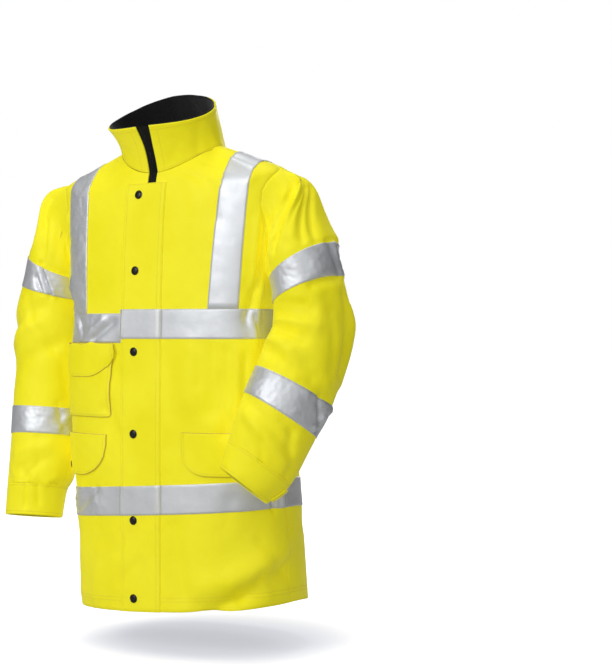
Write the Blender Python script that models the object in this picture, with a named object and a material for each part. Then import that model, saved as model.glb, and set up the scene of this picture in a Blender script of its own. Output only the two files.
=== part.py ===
"""Hi-vis work jacket, filled out as if worn.

A hip-length coat of coated fluorescent cloth: two fronts, a back, two sleeves with cuffs, a lined
stand collar, a studded storm flap over the zip, reflective tape and flapped pockets.

Metres, +Z up. The wearer faces -Y and the wearer's left is +X. The origin is at the middle of
the neck, level with the inner ends of the shoulder seams, where the wearer's shoulders carry it.
Every piece is a wall of cloth between an outer and an inner grid of points. Pieces that lie on
a panel are made from that panel's own points, moved out, so they stay parallel to it.
"""
import bpy
import numpy as np

# ------------------------------------------------------------------ driving dimensions
WALL = 0.003               # coated shell cloth with its lining
GAP = 0.0003               # left between neighbouring pieces
TAPE_WIDTH = 0.050         # reflective tape
TAPE_THICKNESS = 0.0010
TAPE_LIFT = 0.0004         # from the cloth under a tape to the tape
FLAP_THICKNESS = 0.0022    # storm flap and pocket flaps
FLAP_LIFT = 0.0005
ZIP_HALF = 0.0085          # half of the strip between the two fronts
ZIP_RECESS = 0.0006        # zip face behind the cloth's face
ZIP_THICKNESS = 0.0018
ZIP_PART_HALF = GAP / 2    # half of the gap between the zip's two halves
STORM_FREE_X = -0.051      # free edge of the storm flap, over the wearer's right front
STORM_SEWN_X = 0.0315      # its sewn edge, on the wearer's left front
STORM_TOP_ROW, STORM_TOP_SHARE = 4, 0.2   # rows of the fronts above the flap's top, and where
STUD_X = -0.023
STUD_RADIUS = 0.0075
STUD_HEIGHT = 0.0024
STUD_SIDES = 12
STUD_HEIGHTS = (-0.081, -0.210, -0.347, -0.486, -0.632, -0.764)

HEM_TAPE_UP = 0.2100       # heights of the tapes' middles, as shares from hem to neckline
CHEST_TAPE_UP = 0.540
RIGHT_CHEST_STEP = 0.007   # the wearer's right chest tape sits this much lower
UP_PER_METRE = 1 / 0.9     # share of height per metre, below the shoulders
ARMPIT_UP = 0.6367
TIP_UP = 0.8380            # outer end of the shoulder seam
ARMHOLE_SWING = {"front_square": np.radians(30), "back_square": np.radians(24)}
ROWS_DRAW_CLOSER = 0.7     # how much the rows gather towards the shoulder seam

# Rows run from the hem up to the neckline. up: share of the height; z: height at the sides;
# half_width; front, ridge and back: where the section crosses the middle plane and where it is
# widest; drops: how much lower its front and back are than its sides; tilt: rise towards the
# wearer's left; squares: 2 is an ellipse, more is flatter in front or behind.
SECTION_COLUMNS = ("up", "z", "half_width", "front", "ridge", "back", "front_drop",
                   "back_drop", "tilt", "front_square", "back_square")
SECTIONS = np.array((
    (0.0000, -0.782, 0.203, -0.138, 0.000, 0.187, 0.003, 0.025, 0.065, 2.4, 2.2),
    (0.2067, -0.600, 0.207, -0.139, -0.025, 0.150, 0.000, 0.015, 0.075, 2.5, 2.2),
    (0.3733, -0.450, 0.203, -0.139, -0.050, 0.125, 0.000, 0.010, 0.040, 2.7, 2.3),
    (0.5400, -0.300, 0.189, -0.137, -0.072, 0.100, 0.000, 0.008, 0.000, 2.9, 2.3),
    (0.6367, -0.213, 0.197, -0.134, -0.068, 0.085, 0.000, 0.000, 0.000, 2.9, 2.3),
    (0.7289, -0.130, 0.211, -0.129, -0.060, 0.066, 0.004, 0.000, 0.010, 2.8, 2.3),
    (0.8111, -0.056, 0.222, -0.123, -0.054, 0.048, 0.022, 0.008, 0.020, 2.6, 2.2),
    (0.9050, -0.024, 0.160, -0.119, -0.056, 0.030, 0.032, 0.003, 0.020, 2.3, 2.1),
    (1.0000, 0.000, 0.099, -0.116, -0.058, 0.014, 0.044, -0.006, 0.010, 2.0, 2.0),
))
NECK_HALF_WIDTH = SECTIONS[-1][2]

# The panels' lines of points, as distances from the middle: at the chest and at the shoulder.
# The last three lines of each list are the edges and the middle of the brace tape.
FRONT_LEFT_LINES = ((ZIP_HALF, ZIP_HALF), (STORM_SEWN_X, STORM_SEWN_X), (0.055, 0.055),
                    (0.075, 0.078), (0.086, 0.092), (0.098, NECK_HALF_WIDTH),
                    (0.118, 0.136), (0.143, 0.161), (0.168, 0.186))
FRONT_RIGHT_LINES = ((ZIP_HALF, ZIP_HALF), (0.030, 0.030), (-STORM_FREE_X, -STORM_FREE_X),
                     (0.072, 0.075), (0.090, 0.090), (0.108, NECK_HALF_WIDTH),
                     (0.131, 0.137), (0.156, 0.162), (0.180, 0.187))
BACK_LINES = ((0.0, 0.0), (0.024, 0.024), (0.048, 0.048), (0.070, 0.070), (0.088, 0.088),
              (0.101, NECK_HALF_WIDTH), (0.121, 0.134), (0.146, 0.159), (0.171, 0.184))
EDGE_CELLS = 4             # from the brace tape's outer edge to the side seam

# Cells between the marks from hem to neck: hem, hem tape, chest tape, armpit, top edge.
CELLS_TO_HEM_TAPE = 4
CELLS_IN_TAPE = 2
CELLS_TO_CHEST_TAPE = 6
CELLS_TO_ARMPIT = 1
CELLS_TO_TOP = 11

# Collar: the top ring's half width, where it crosses the middle plane and its heights.
COLLAR_TOP = {"half_width": 0.105, "shift": 0.005, "front": -0.157, "ridge": -0.099, "back": -0.039,
              "front_z": 0.030, "rise": 0.065, "power": 1.6, "tilt": 0.004}
COLLAR_CELLS = 5
COLLAR_SWELL = 0.005
COLLAR_OPEN_TOP = 0.0128   # half of the opening at the collar's top
LINING_WALL = 0.0020
LINING_RISE = 0.025        # share by which the lining stands higher than the collar behind

# Sleeve rings from below the cap to the cuff's end. along: distance down the sleeve; x, y, z:
# the ring's middle; lean: outer side up, pitch: front side up, in degrees; across and deep:
# half sizes. The right sleeve's table is for a left arm and is mirrored.
RING_COLUMNS = ("along", "x", "y", "z", "lean", "pitch", "across", "deep")
LEFT_RINGS = np.array((
    (0.000, 0.254, -0.050, -0.190, 33, 0, 0.061, 0.066),
    (0.035, 0.262, -0.052, -0.222, 30, 0, 0.060, 0.063),
    (0.115, 0.272, -0.050, -0.300, 6, 8, 0.064, 0.068),
    (0.165, 0.269, -0.068, -0.348, -10, 16, 0.066, 0.067),
    (0.218, 0.264, -0.090, -0.395, -20, 22, 0.066, 0.066),
    (0.305, 0.242, -0.126, -0.475, -27, 25, 0.063, 0.060),
    (0.365, 0.222, -0.137, -0.528, -29, 25, 0.057, 0.053),
    (0.408, 0.203, -0.152, -0.561, -30, 28, 0.043, 0.044),
))
RIGHT_RINGS = np.array((
    (0.000, 0.259, -0.041, -0.188, 28, 0, 0.056, 0.063),
    (0.035, 0.264, -0.041, -0.220, 18, 2, 0.058, 0.063),
    (0.115, 0.277, -0.043, -0.300, 7, 3, 0.066, 0.067),
    (0.190, 0.278, -0.045, -0.375, 0, 4, 0.065, 0.066),
    (0.270, 0.278, -0.052, -0.454, 0, 7, 0.063, 0.065),
    (0.350, 0.277, -0.064, -0.533, -2, 9, 0.061, 0.064),
    (0.394, 0.278, -0.073, -0.576, -2, 9, 0.058, 0.061),
    (0.414, 0.280, -0.081, -0.596, -2, 9, 0.053, 0.056),
    (0.463, 0.280, -0.091, -0.645, -2, 9, 0.051, 0.052),
))
# Distances down each sleeve: middles of its two tapes, cuff seam and end.
LEFT_MARKS = {"upper_tape": 0.035, "lower_tape": 0.250, "cuff": 0.358, "end": 0.408}
RIGHT_MARKS = {"upper_tape": 0.034, "lower_tape": 0.294, "cuff": 0.408, "end": 0.463}
SLEEVE_SIDES = 2 * CELLS_TO_TOP    # one for each cell of the armhole's edge
CAP_CELLS = 7
CAP_RUN = 0.15             # length that the cap counts for in the fold tables
CAP_PLAIN = 0.02           # its stretch beside the armhole that has no folds
CAP_PULL = {"left": (1.1, 1.9), "right": (1.3, 2.2)}   # at the armpit and at the shoulder
CAP_TURN_IN = 0.4          # how much it first leans towards the armhole's middle, below the tip
ARMHOLE_GAP = 0.0005
TOP_WAY = {"left": np.array((0.93, 0.0, -0.36)),      # how the cap leaves the shoulder seam
           "right": np.array((0.995, 0.0, -0.10))}
ARMPIT_WAY = np.array((0.50, 0.0, -0.87))   # and the armpit
CUFF_CELLS = 3
CUFF_TAB = {"from": 190, "to": 268, "low": 0.012, "high": 0.040, "lift": 0.0012}

# Folds: a trough (depth below 0) or ridge between two places, as wide as given. The columns are
# from angle, from place, to angle, to place, width and depth. On the body the angle is from the
# front towards the wearer's left, and the place is a height.
BODY_RADIUS = 0.17
BODY_FOLDS = (
    (28, -0.345, 25, -0.435, 0.018, 0.0050),
    (38, -0.350, 36, -0.440, 0.016, -0.0050),
    (50, -0.350, 47, -0.440, 0.020, 0.0050),
    (30, -0.775, 85, -0.715, 0.020, -0.0070),
    (34, -0.735, 84, -0.680, 0.022, 0.0060),
    (48, -0.660, 80, -0.560, 0.030, -0.0050),
    (-18, -0.335, -19, -0.385, 0.013, -0.0035),
    (-21, -0.440, -21, -0.480, 0.012, -0.0030),
    (74, -0.215, 62, -0.290, 0.014, -0.0060),
    (80, -0.240, 72, -0.330, 0.016, 0.0050),
    (-40, -0.600, -48, -0.760, 0.030, 0.0050),
    (-66, -0.580, -60, -0.740, 0.026, -0.0050),
    (-76, -0.230, -60, -0.310, 0.016, -0.0050),
    (166, -0.320, 160, -0.380, 0.014, -0.0050),
    (158, -0.330, 150, -0.400, 0.018, 0.0050),
    (250, -0.215, 236, -0.290, 0.014, -0.0060),
    (110, -0.215, 124, -0.290, 0.014, -0.0060),
    (244, -0.250, 230, -0.340, 0.018, 0.0050),
    (116, -0.250, 130, -0.340, 0.018, 0.0050),
    (146, -0.735, 205, -0.750, 0.022, -0.0050),
    (160, -0.700, 228, -0.705, 0.024, 0.0045),
    (215, -0.450, 205, -0.590, 0.030, 0.0045),
    (140, -0.440, 150, -0.580, 0.030, -0.0045),
    (196, -0.100, 190, -0.270, 0.030, -0.0030),
)
# On a sleeve a place is an angle round it, 0 at the armpit side, 90 in front, 180 outside, and
# a distance along it, where the cap counts from -CAP_RUN to 0.
SLEEVE_RADIUS = 0.063
LEFT_SLEEVE_FOLDS = (
    (150, -0.125, 112, -0.020, 0.012, 0.0060),
    (132, -0.120, 92, -0.030, 0.011, -0.0060),
    (112, -0.110, 72, -0.030, 0.012, 0.0055),
    (176, -0.110, 150, 0.000, 0.014, -0.0045),
    (205, -0.110, 205, 0.000, 0.016, 0.0045),
    (240, -0.110, 262, -0.020, 0.014, -0.0050),
    (20, 0.080, 118, 0.104, 0.010, -0.0065),
    (12, 0.104, 128, 0.130, 0.011, 0.0060),
    (0, 0.124, 112, 0.152, 0.010, -0.0070),
    (350, 0.150, 100, 0.176, 0.012, 0.0055),
    (345, 0.176, 88, 0.196, 0.010, -0.0055),
    (150, 0.090, 196, 0.140, 0.014, -0.0045),
    (200, 0.120, 250, 0.190, 0.018, 0.0045),
    (130, 0.190, 170, 0.225, 0.014, -0.0040),
    (60, 0.285, 150, 0.315, 0.012, -0.0045),
    (70, 0.305, 160, 0.335, 0.012, 0.0045),
    (260, 0.280, 330, 0.320, 0.014, -0.0045),
)
RIGHT_SLEEVE_FOLDS = (
    (150, -0.120, 118, -0.020, 0.014, 0.0045),
    (130, -0.115, 96, -0.020, 0.012, -0.0045),
    (214, -0.115, 240, -0.020, 0.014, 0.0045),
    (234, -0.110, 262, -0.030, 0.012, -0.0045),
    (70, 0.085, 150, 0.135, 0.014, -0.0050),
    (80, 0.115, 165, 0.165, 0.014, 0.0045),
    (40, 0.150, 120, 0.195, 0.014, -0.0045),
    (190, 0.100, 255, 0.150, 0.016, 0.0045),
    (200, 0.145, 280, 0.190, 0.014, -0.0045),
    (60, 0.335, 140, 0.355, 0.010, 0.0040),
    (50, 0.360, 150, 0.386, 0.010, -0.0050),
    (200, 0.345, 290, 0.370, 0.012, -0.0045),
    (150, 0.215, 230, 0.245, 0.016, -0.0035),
)

# Pocket pieces: the two upper corners' angles, the heights of the top and bottom edge, the
# radius of the lower corners and how far the middle stands off the cloth under it.
POCKET_COLUMNS = ("from_angle", "to_angle", "top", "bottom", "corner", "stand_off")
CHEST_POCKET_BODY = (-67, -21, -0.352, -0.460, 0.005, 0.0040)
CHEST_POCKET_FLAP = (-69, -20, -0.333, -0.391, 0.038, 0.0065)
RIGHT_POCKET_FLAP = (-97, -23, -0.489, -0.562, 0.056, 0.0010)
LEFT_POCKET_FLAP = (20, 86, -0.480, -0.552, 0.036, 0.0010)
POCKET_CELLS = {"across": 8, "down": 4}
POCKET_LIFT = 0.0011
POCKET_STUD = (-66, -0.548)

YELLOW = (0.80, 0.86, 0.02, 1.0)
SILVER = (0.56, 0.57, 0.58, 1.0)
BLACK = (0.012, 0.012, 0.014, 1.0)


# ------------------------------------------------------------------ tools
def smooth(table, columns, name, at):
    """Column `name` of a table at the places `at`: a cubic through the rows, with slopes
    that never overshoot them. The table's first column is the place."""
    place = table[:, 0]
    value = table[:, columns.index(name)]
    step = np.diff(place)
    rise = np.diff(value) / step
    product = rise[1:] * rise[:-1]
    total = np.where(product > 0, rise[1:] + rise[:-1], 1)
    inner = np.where(product > 0, 2 * product / total, 0)
    slope = np.concatenate((rise[:1], inner, rise[-1:]))
    at = np.clip(at, place[0], place[-1])
    row = np.clip(np.searchsorted(place, at, side="right") - 1, 0, len(step) - 1)
    width = step[row]
    t = (at - place[row]) / width
    start = value[row] * (1 + 2 * t) + slope[row] * width * t
    end = value[row + 1] * (3 - 2 * t) - slope[row + 1] * width * (1 - t)
    return start * (1 - t) ** 2 + end * t ** 2


def unit(vectors):
    """The same vectors at length 1."""
    return vectors / np.linalg.norm(vectors, axis=-1, keepdims=True)


def outward(surface, angle, place, lowest, highest, sign=1.0):
    """Normals of surface(angle, place), from central differences."""
    turn, step = 0.01, 0.004
    across = surface(angle + turn, place) - surface(angle - turn, place)
    above = np.minimum(place + step, highest)
    below = np.maximum(place - step, lowest)
    along = surface(angle, above) - surface(angle, below)
    return unit(np.cross(across, along)) * sign


def fold_height(table, radius, angle, place):
    """Sum of the folds: each is depth * exp(-(distance to its line / width)^2)."""
    total = np.zeros(np.broadcast(angle, place).shape)
    for from_angle, from_place, to_angle, to_place, width, depth in table:
        middle = np.radians((from_angle + to_angle) / 2)
        if abs(to_angle - from_angle) > 180:
            middle += np.pi
        reach = np.radians((to_angle - from_angle + 180) % 360 - 180) * radius / 2
        turned = (angle - middle + np.pi) % (2 * np.pi) - np.pi
        across = turned * radius + reach
        length = np.hypot(2 * reach, to_place - from_place)
        way = (2 * reach / length, (to_place - from_place) / length)
        rise = place - from_place
        share = np.clip(across * way[0] + rise * way[1], 0, length)
        gap_squared = (across - share * way[0]) ** 2 + (rise - share * way[1]) ** 2
        total += depth * np.exp(-gap_squared / width ** 2)
    return total


def material(name, colour, roughness, metallic=0.0):
    """A plain Principled material."""
    made = bpy.data.materials.new(name)
    made.use_nodes = True
    shader = made.node_tree.nodes["Principled BSDF"]
    shader.inputs["Base Color"].default_value = colour
    shader.inputs["Roughness"].default_value = roughness
    shader.inputs["Metallic"].default_value = metallic
    return made


def add_object(name, points, triangles, finish):
    """An object from points and triangles, turned so that its volume is positive."""
    points = np.asarray(points)
    triangles = np.asarray(triangles)
    corner = points[triangles]
    volume = np.einsum("ij,ij->i", corner[:, 0], np.cross(corner[:, 1], corner[:, 2])).sum()
    if volume < 0:
        triangles = triangles[:, ::-1]
    mesh = bpy.data.meshes.new(name)
    mesh.from_pydata(points.tolist(), [], triangles.tolist())
    mesh.materials.append(finish)
    mesh.shade_smooth()
    mesh.set_sharp_from_angle(angle=np.radians(50))
    made = bpy.data.objects.new(name, mesh)
    bpy.context.scene.collection.objects.link(made)
    return made


def wall(name, outer, inner, finish, ring=False):
    """A closed wall between two grids of points. A ring's last column meets its first."""
    rows, columns = outer.shape[:2]
    number = np.arange(rows * columns).reshape(rows, columns)
    if ring:
        number = np.hstack((number, number[:, :1]))
    low_left, low_right = number[:-1, :-1], number[:-1, 1:]
    high_left, high_right = number[1:, :-1], number[1:, 1:]
    face = np.concatenate((
        np.stack((low_left, low_right, high_right), -1).reshape(-1, 3),
        np.stack((low_left, high_right, high_left), -1).reshape(-1, 3),
    ))
    points = np.concatenate((outer.reshape(-1, 3), inner.reshape(-1, 3)))
    inside = rows * columns
    borders = [number[0], number[-1, ::-1]]
    if not ring:
        borders += [number[:, -1], number[::-1, 0]]
    rims = []
    for border in borders:
        here, there = border[:-1], border[1:]
        # Each rim square is cut from its higher outer corner, as its neighbour's is.
        rank = points[:, 2] + points[:, 0] / 10
        climbs = (rank[there] > rank[here])[:, None]
        rims.append(np.stack((there, here, np.where(climbs[:, 0], here, there) + inside), -1))
        rims.append(np.where(climbs, np.stack((there, here + inside, there + inside), -1),
                             np.stack((here, here + inside, there + inside), -1)))
    triangles = np.concatenate([face, face[:, ::-1] + inside] + rims)
    return add_object(name, points, triangles, finish)


def trim(outer, inner, sides, amount=GAP / 2):
    """Both grids with the named borders pulled back by `amount` along the outer grid."""
    outer, inner = outer.copy(), inner.copy()
    lines = {"bottom": (np.s_[0, :], np.s_[1, :]), "top": (np.s_[-1, :], np.s_[-2, :]),
             "first": (np.s_[:, 0], np.s_[:, 1]), "last": (np.s_[:, -1], np.s_[:, -2])}
    for side in sides:
        edge, next_to = lines[side]
        shift = unit(outer[next_to] - outer[edge]) * amount
        outer[edge] += shift
        inner[edge] += shift
    return outer, inner


# ------------------------------------------------------------------ the body's form
def section(name, up):
    """A column of the sections table at the height share `up`."""
    return smooth(SECTIONS, SECTION_COLUMNS, name, up)


def plain_body(angle, up):
    """The outside of the body without folds: at each height a rounded section whose corner
    fullness comes from |sin|^n + |cos|^n = 1."""
    sine, cosine = np.sin(angle), np.cos(angle)
    in_front = cosine > 0
    power = np.where(in_front, section("front_square", up), section("back_square", up))
    reach = (np.abs(sine) ** power + np.abs(cosine) ** power) ** (-1 / power)
    ridge = section("ridge", up)
    depth = np.where(in_front, section("front", up) - ridge, section("back", up) - ridge)
    fullness = np.abs(cosine) * reach
    x = section("half_width", up) * sine * reach
    y = ridge + depth * fullness
    drop = np.where(in_front, section("front_drop", up), section("back_drop", up))
    z = section("z", up) + section("tilt", up) * x - drop * fullness ** 2
    return np.stack((x, y, z), -1)


def body(angle, up):
    """The outside of the body with its folds."""
    plain = plain_body(angle, up)
    height = fold_height(BODY_FOLDS, BODY_RADIUS, angle, plain[..., 2])
    return plain + outward(plain_body, angle, up, 0, 1) * height[..., None]


def body_layer(angle, up, lift):
    """Points of the body moved out by `lift`."""
    return body(angle, up) + outward(body, angle, up, 0, 1) * lift


def angle_at(x, up, power_name):
    """Angle from the middle at which a section is `x` wide."""
    share = np.clip(x / section("half_width", up), 0, 1)
    power = section(power_name, up)
    return np.arctan2(share, (1 - share ** power) ** (1 / power))


def up_on_ridge(x):
    """Height share at which the shoulder seam is `x` from the middle; 1 inside the neck."""
    up = np.linspace(TIP_UP, 1, 200)
    return np.interp(-x, -section("half_width", up), up)


def armhole_share(climb):
    """Share of the armhole's height after a share of its rows, which draw closer upwards."""
    return 1 - (1 - climb) ** 2


def armhole_angle(share, half):
    """Angle of the armhole's edge, from the middle, at a share of its height."""
    swing = np.sin(np.pi * share ** 1.8) + 0.35 * np.sqrt(share) * (1 - share) ** 2
    return np.pi / 2 - ARMHOLE_SWING[half] * swing


def up_levels(chest_shift=0.0):
    """Height shares of the rows from the hem to the armpit."""
    half_tape = TAPE_WIDTH / 2 * UP_PER_METRE
    chest = CHEST_TAPE_UP - chest_shift * UP_PER_METRE
    marks = (0, HEM_TAPE_UP - half_tape, HEM_TAPE_UP + half_tape, chest - half_tape,
             chest + half_tape, ARMPIT_UP)
    cells = (CELLS_TO_HEM_TAPE, CELLS_IN_TAPE, CELLS_TO_CHEST_TAPE, CELLS_IN_TAPE,
             CELLS_TO_ARMPIT)
    rows = [np.linspace(marks[k], marks[k + 1], cells[k] + 1)[:-1] for k in range(len(cells))]
    return np.concatenate(rows + [[ARMPIT_UP]])


def half_panel(lines, half, chest_shift=0.0):
    """Angles from the middle and height shares of half a panel's points, row by row from the
    hem. Its lines run up to the neckline or the shoulder seam; its last line is the side seam
    and the armhole."""
    low = up_levels(chest_shift)
    climb = np.linspace(0, 1, CELLS_TO_TOP + 1)[1:]
    angles, ups = [], []
    for chest_x, shoulder_x in lines:
        top = up_on_ridge(shoulder_x)
        easing = 1 + ROWS_DRAW_CLOSER * np.clip((shoulder_x - 0.06) / 0.04, 0, 1)
        up = np.concatenate((low, ARMPIT_UP + (top - ARMPIT_UP) * (1 - (1 - climb) ** easing)))
        splay = np.clip((up - CHEST_TAPE_UP) / (TIP_UP - CHEST_TAPE_UP), 0, 1)
        x = chest_x + (shoulder_x - chest_x) * splay
        angle = angle_at(x, up, half)
        if shoulder_x >= NECK_HALF_WIDTH:
            angle[-1] = np.pi / 2
        angles.append(angle)
        ups.append(up)
    share = armhole_share(climb)
    edge_up = np.concatenate((low, ARMPIT_UP + (TIP_UP - ARMPIT_UP) * share))
    edge_angle = np.concatenate((np.full(len(low), np.pi / 2), armhole_angle(share, half)))
    for k in range(1, EDGE_CELLS + 1):
        weight = k / EDGE_CELLS
        angles.append(angles[len(lines) - 1] * (1 - weight) + edge_angle * weight)
        ups.append(ups[len(lines) - 1] * (1 - weight) + edge_up * weight)
    return np.stack(angles, 1), np.stack(ups, 1)


HEM_TAPE_ROWS = slice(CELLS_TO_HEM_TAPE, CELLS_TO_HEM_TAPE + CELLS_IN_TAPE + 1)
CHEST_START = CELLS_TO_HEM_TAPE + CELLS_IN_TAPE + CELLS_TO_CHEST_TAPE
CHEST_TAPE_ROWS = slice(CHEST_START, CHEST_START + CELLS_IN_TAPE + 1)
BRACE_ROWS = slice(CHEST_START + CELLS_IN_TAPE, None)


# ------------------------------------------------------------------ fronts, back and their tape
def layer(name, angle, up, low, high, finish, sides):
    """A wall between two lifts above the body, with the named borders pulled back."""
    outer, inner = trim(body_layer(angle, up, high), body_layer(angle, up, low), sides)
    return wall(name, outer, inner, finish)


def tape_on(name, angle, up, rows, columns, finish, sides):
    """Reflective tape over the given rows and columns of a panel's points."""
    layer(name, angle[rows, columns], up[rows, columns], TAPE_LIFT,
          TAPE_LIFT + TAPE_THICKNESS, finish, sides)


def make_panels(yellow, silver):
    """Both fronts and the back, each with its hem tape, chest tape and brace tapes."""
    left_angle, left_up = half_panel(FRONT_LEFT_LINES, "front_square")
    right_angle, right_up = half_panel(FRONT_RIGHT_LINES, "front_square", RIGHT_CHEST_STEP)
    right_angle, right_up = -right_angle[:, ::-1], right_up[:, ::-1]
    half_angle, half_up = half_panel(BACK_LINES, "back_square")
    back_angle = np.hstack((np.pi - half_angle[:, ::-1], np.pi + half_angle[:, 1:]))
    back_up = np.hstack((half_up[:, ::-1], half_up[:, 1:]))

    all_round = ("first", "last", "top")
    layer("front_left", left_angle, left_up, -WALL, 0, yellow, all_round)
    layer("front_right", right_angle, right_up, -WALL, 0, yellow, all_round)
    layer("back", back_angle, back_up, -WALL, 0, yellow, all_round)

    brace = len(FRONT_LEFT_LINES) - 3
    free = len(FRONT_RIGHT_LINES) - 3 + EDGE_CELLS
    for label, rows in (("hem", HEM_TAPE_ROWS), ("chest", CHEST_TAPE_ROWS)):
        tape_on(f"{label}_tape_front_left", left_angle, left_up, rows, slice(1, None),
                silver, ("first", "last"))
        tape_on(f"{label}_tape_front_right", right_angle, right_up, rows,
                slice(0, free + 1), silver, ("first", "last"))
        tape_on(f"{label}_tape_back", back_angle, back_up, rows, slice(None), silver,
                ("first", "last"))
    ends = ("bottom", "top")
    tape_on("brace_front_left", left_angle, left_up, BRACE_ROWS, slice(brace, brace + 3),
            silver, ends)
    tape_on("brace_front_right", right_angle, right_up, BRACE_ROWS,
            slice(EDGE_CELLS, EDGE_CELLS + 3), silver, ends)
    tape_on("brace_back_left", back_angle, back_up, BRACE_ROWS,
            slice(EDGE_CELLS, EDGE_CELLS + 3), silver, ends)
    last = back_angle.shape[1] - EDGE_CELLS
    tape_on("brace_back_right", back_angle, back_up, BRACE_ROWS, slice(last - 3, last),
            silver, ends)
    return {"left": (left_angle, left_up), "right": (right_angle, right_up),
            "back": (back_angle, back_up)}


def middle_rows(panels):
    """Height shares of the wearer's left front's rows at the middle, up to the neckline."""
    return panels["left"][1][:, 0]


def make_storm_flap(panels, yellow, silver, black):
    """The flap over the zip, its two stretches of tape and its studs."""
    rows = middle_rows(panels)
    below, above = rows[-STORM_TOP_ROW - 1], rows[-STORM_TOP_ROW]
    up = np.append(rows[:-STORM_TOP_ROW], below + (above - below) * STORM_TOP_SHARE)
    x = np.array((STORM_FREE_X, -0.030, -ZIP_HALF, 0.0, ZIP_HALF, STORM_SEWN_X))
    up, x = np.meshgrid(up, x, indexing="ij")
    angle = np.sign(x) * angle_at(np.abs(x), up, "front_square")
    high = FLAP_LIFT + FLAP_THICKNESS
    outer = body_layer(angle, up, high)
    inner = body_layer(angle, up, FLAP_LIFT)
    wall("storm_flap", outer, inner, yellow)
    for label, band in (("hem", HEM_TAPE_ROWS), ("chest", CHEST_TAPE_ROWS)):
        low = high + TAPE_LIFT
        wall(f"{label}_tape_flap", body_layer(angle[band], up[band], low + TAPE_THICKNESS),
             body_layer(angle[band], up[band], low), silver)
    for number, height in enumerate(STUD_HEIGHTS, 1):
        place = stud_place(np.abs(STUD_X), height)
        make_stud(f"stud_{number}", -place[0], place[1], high + GAP, black)


def stud_place(x, height):
    """Angle and height share of a point `x` from the middle of the front, at a height."""
    ups = np.linspace(0, 1, 600)
    angles = angle_at(x, ups, "front_square")
    heights = plain_body(-angles, ups)[:, 2]
    up = np.interp(height, heights, ups)
    return angle_at(x, up, "front_square"), up


def up_at(angle, height):
    """Height shares at which the body, without folds, is at these heights."""
    low = np.zeros(np.broadcast(angle, height).shape)
    high = np.ones_like(low)
    for _ in range(40):
        middle = (low + high) / 2
        under = plain_body(angle, middle)[..., 2] < height
        low = np.where(under, middle, low)
        high = np.where(under, high, middle)
    return (low + high) / 2


def make_stud(name, angle, up, lift, finish):
    """A low domed cap turned about the cloth's normal."""
    angle, up = np.array(angle), np.array(up)
    middle = body(angle, up)
    normal = outward(body, angle, up, 0, 1)
    middle = middle + normal * lift
    side = unit(np.cross((0, 0, 1), normal))
    rise = np.cross(normal, side)
    rings = ((1.0, 0.0), (1.0, 0.45), (0.72, 0.88))
    turn = np.arange(STUD_SIDES) * 2 * np.pi / STUD_SIDES
    spoke = np.cos(turn)[:, None] * side + np.sin(turn)[:, None] * rise
    points = [middle + spoke * STUD_RADIUS * wide + normal * STUD_HEIGHT * tall
              for wide, tall in rings]
    points = np.concatenate(points + [[middle], [middle + normal * STUD_HEIGHT]])
    foot, crown = len(points) - 2, len(points) - 1
    triangles = []
    for k in range(STUD_SIDES):
        after = (k + 1) % STUD_SIDES
        triangles.append((foot, after, k))
        for ring in range(len(rings) - 1):
            low, high = ring * STUD_SIDES, (ring + 1) * STUD_SIDES
            triangles.append((low + k, low + after, high + after))
            triangles.append((low + k, high + after, high + k))
        triangles.append((high + k, high + after, crown))
    add_object(name, points, triangles, finish)


# ------------------------------------------------------------------ collar and zip
def collar(angle, rise):
    """The collar's outside: from the neckline to its top ring, a little swollen between."""
    base = body(angle, np.ones_like(angle))
    top = COLLAR_TOP
    in_front = np.cos(angle) > 0
    edge = np.where(in_front, top["front"], top["back"])
    back_share = (1 - np.cos(angle)) / 2
    high = np.stack((
        top["half_width"] * np.sin(angle) + top["shift"],
        top["ridge"] + (edge - top["ridge"]) * np.abs(np.cos(angle)),
        top["front_z"] + top["rise"] * back_share ** top["power"] + top["tilt"] * np.sin(angle),
    ), -1)
    away = np.stack((np.sin(angle), -np.cos(angle), np.zeros_like(angle)), -1)
    rise = np.asarray(rise)[..., None]
    swell = COLLAR_SWELL * 4 * rise * (1 - rise) * (0.3 + 0.7 * back_share[..., None])
    return base * (1 - rise) + high * rise + away * swell + (0, 0, GAP)


def collar_layer(angle, rise, lift):
    """Points of the collar moved out by `lift`."""
    return collar(angle, rise) + outward(collar, angle, rise, 0, 1) * lift


def neck_angles():
    """Angles of the neckline's points, from the wearer's left front edge round the back."""
    quarters = []
    for lines, power in ((FRONT_LEFT_LINES, "front_square"), (BACK_LINES, "back_square")):
        x = np.array([shoulder for _, shoulder in lines if shoulder <= NECK_HALF_WIDTH])
        quarters.append(angle_at(x, 1.0, power))
    front, back = quarters
    half = np.concatenate((front[:-1], [np.pi / 2], np.pi - back[::-1][1:]))
    return np.concatenate((half, 2 * np.pi - half[::-1][1:]))


def collar_half_gap(rise):
    """Half of the opening between the collar's front edges."""
    return ZIP_HALF + (COLLAR_OPEN_TOP - ZIP_HALF) * np.clip((rise - 0.55) / 0.45, 0, 1)


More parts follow.
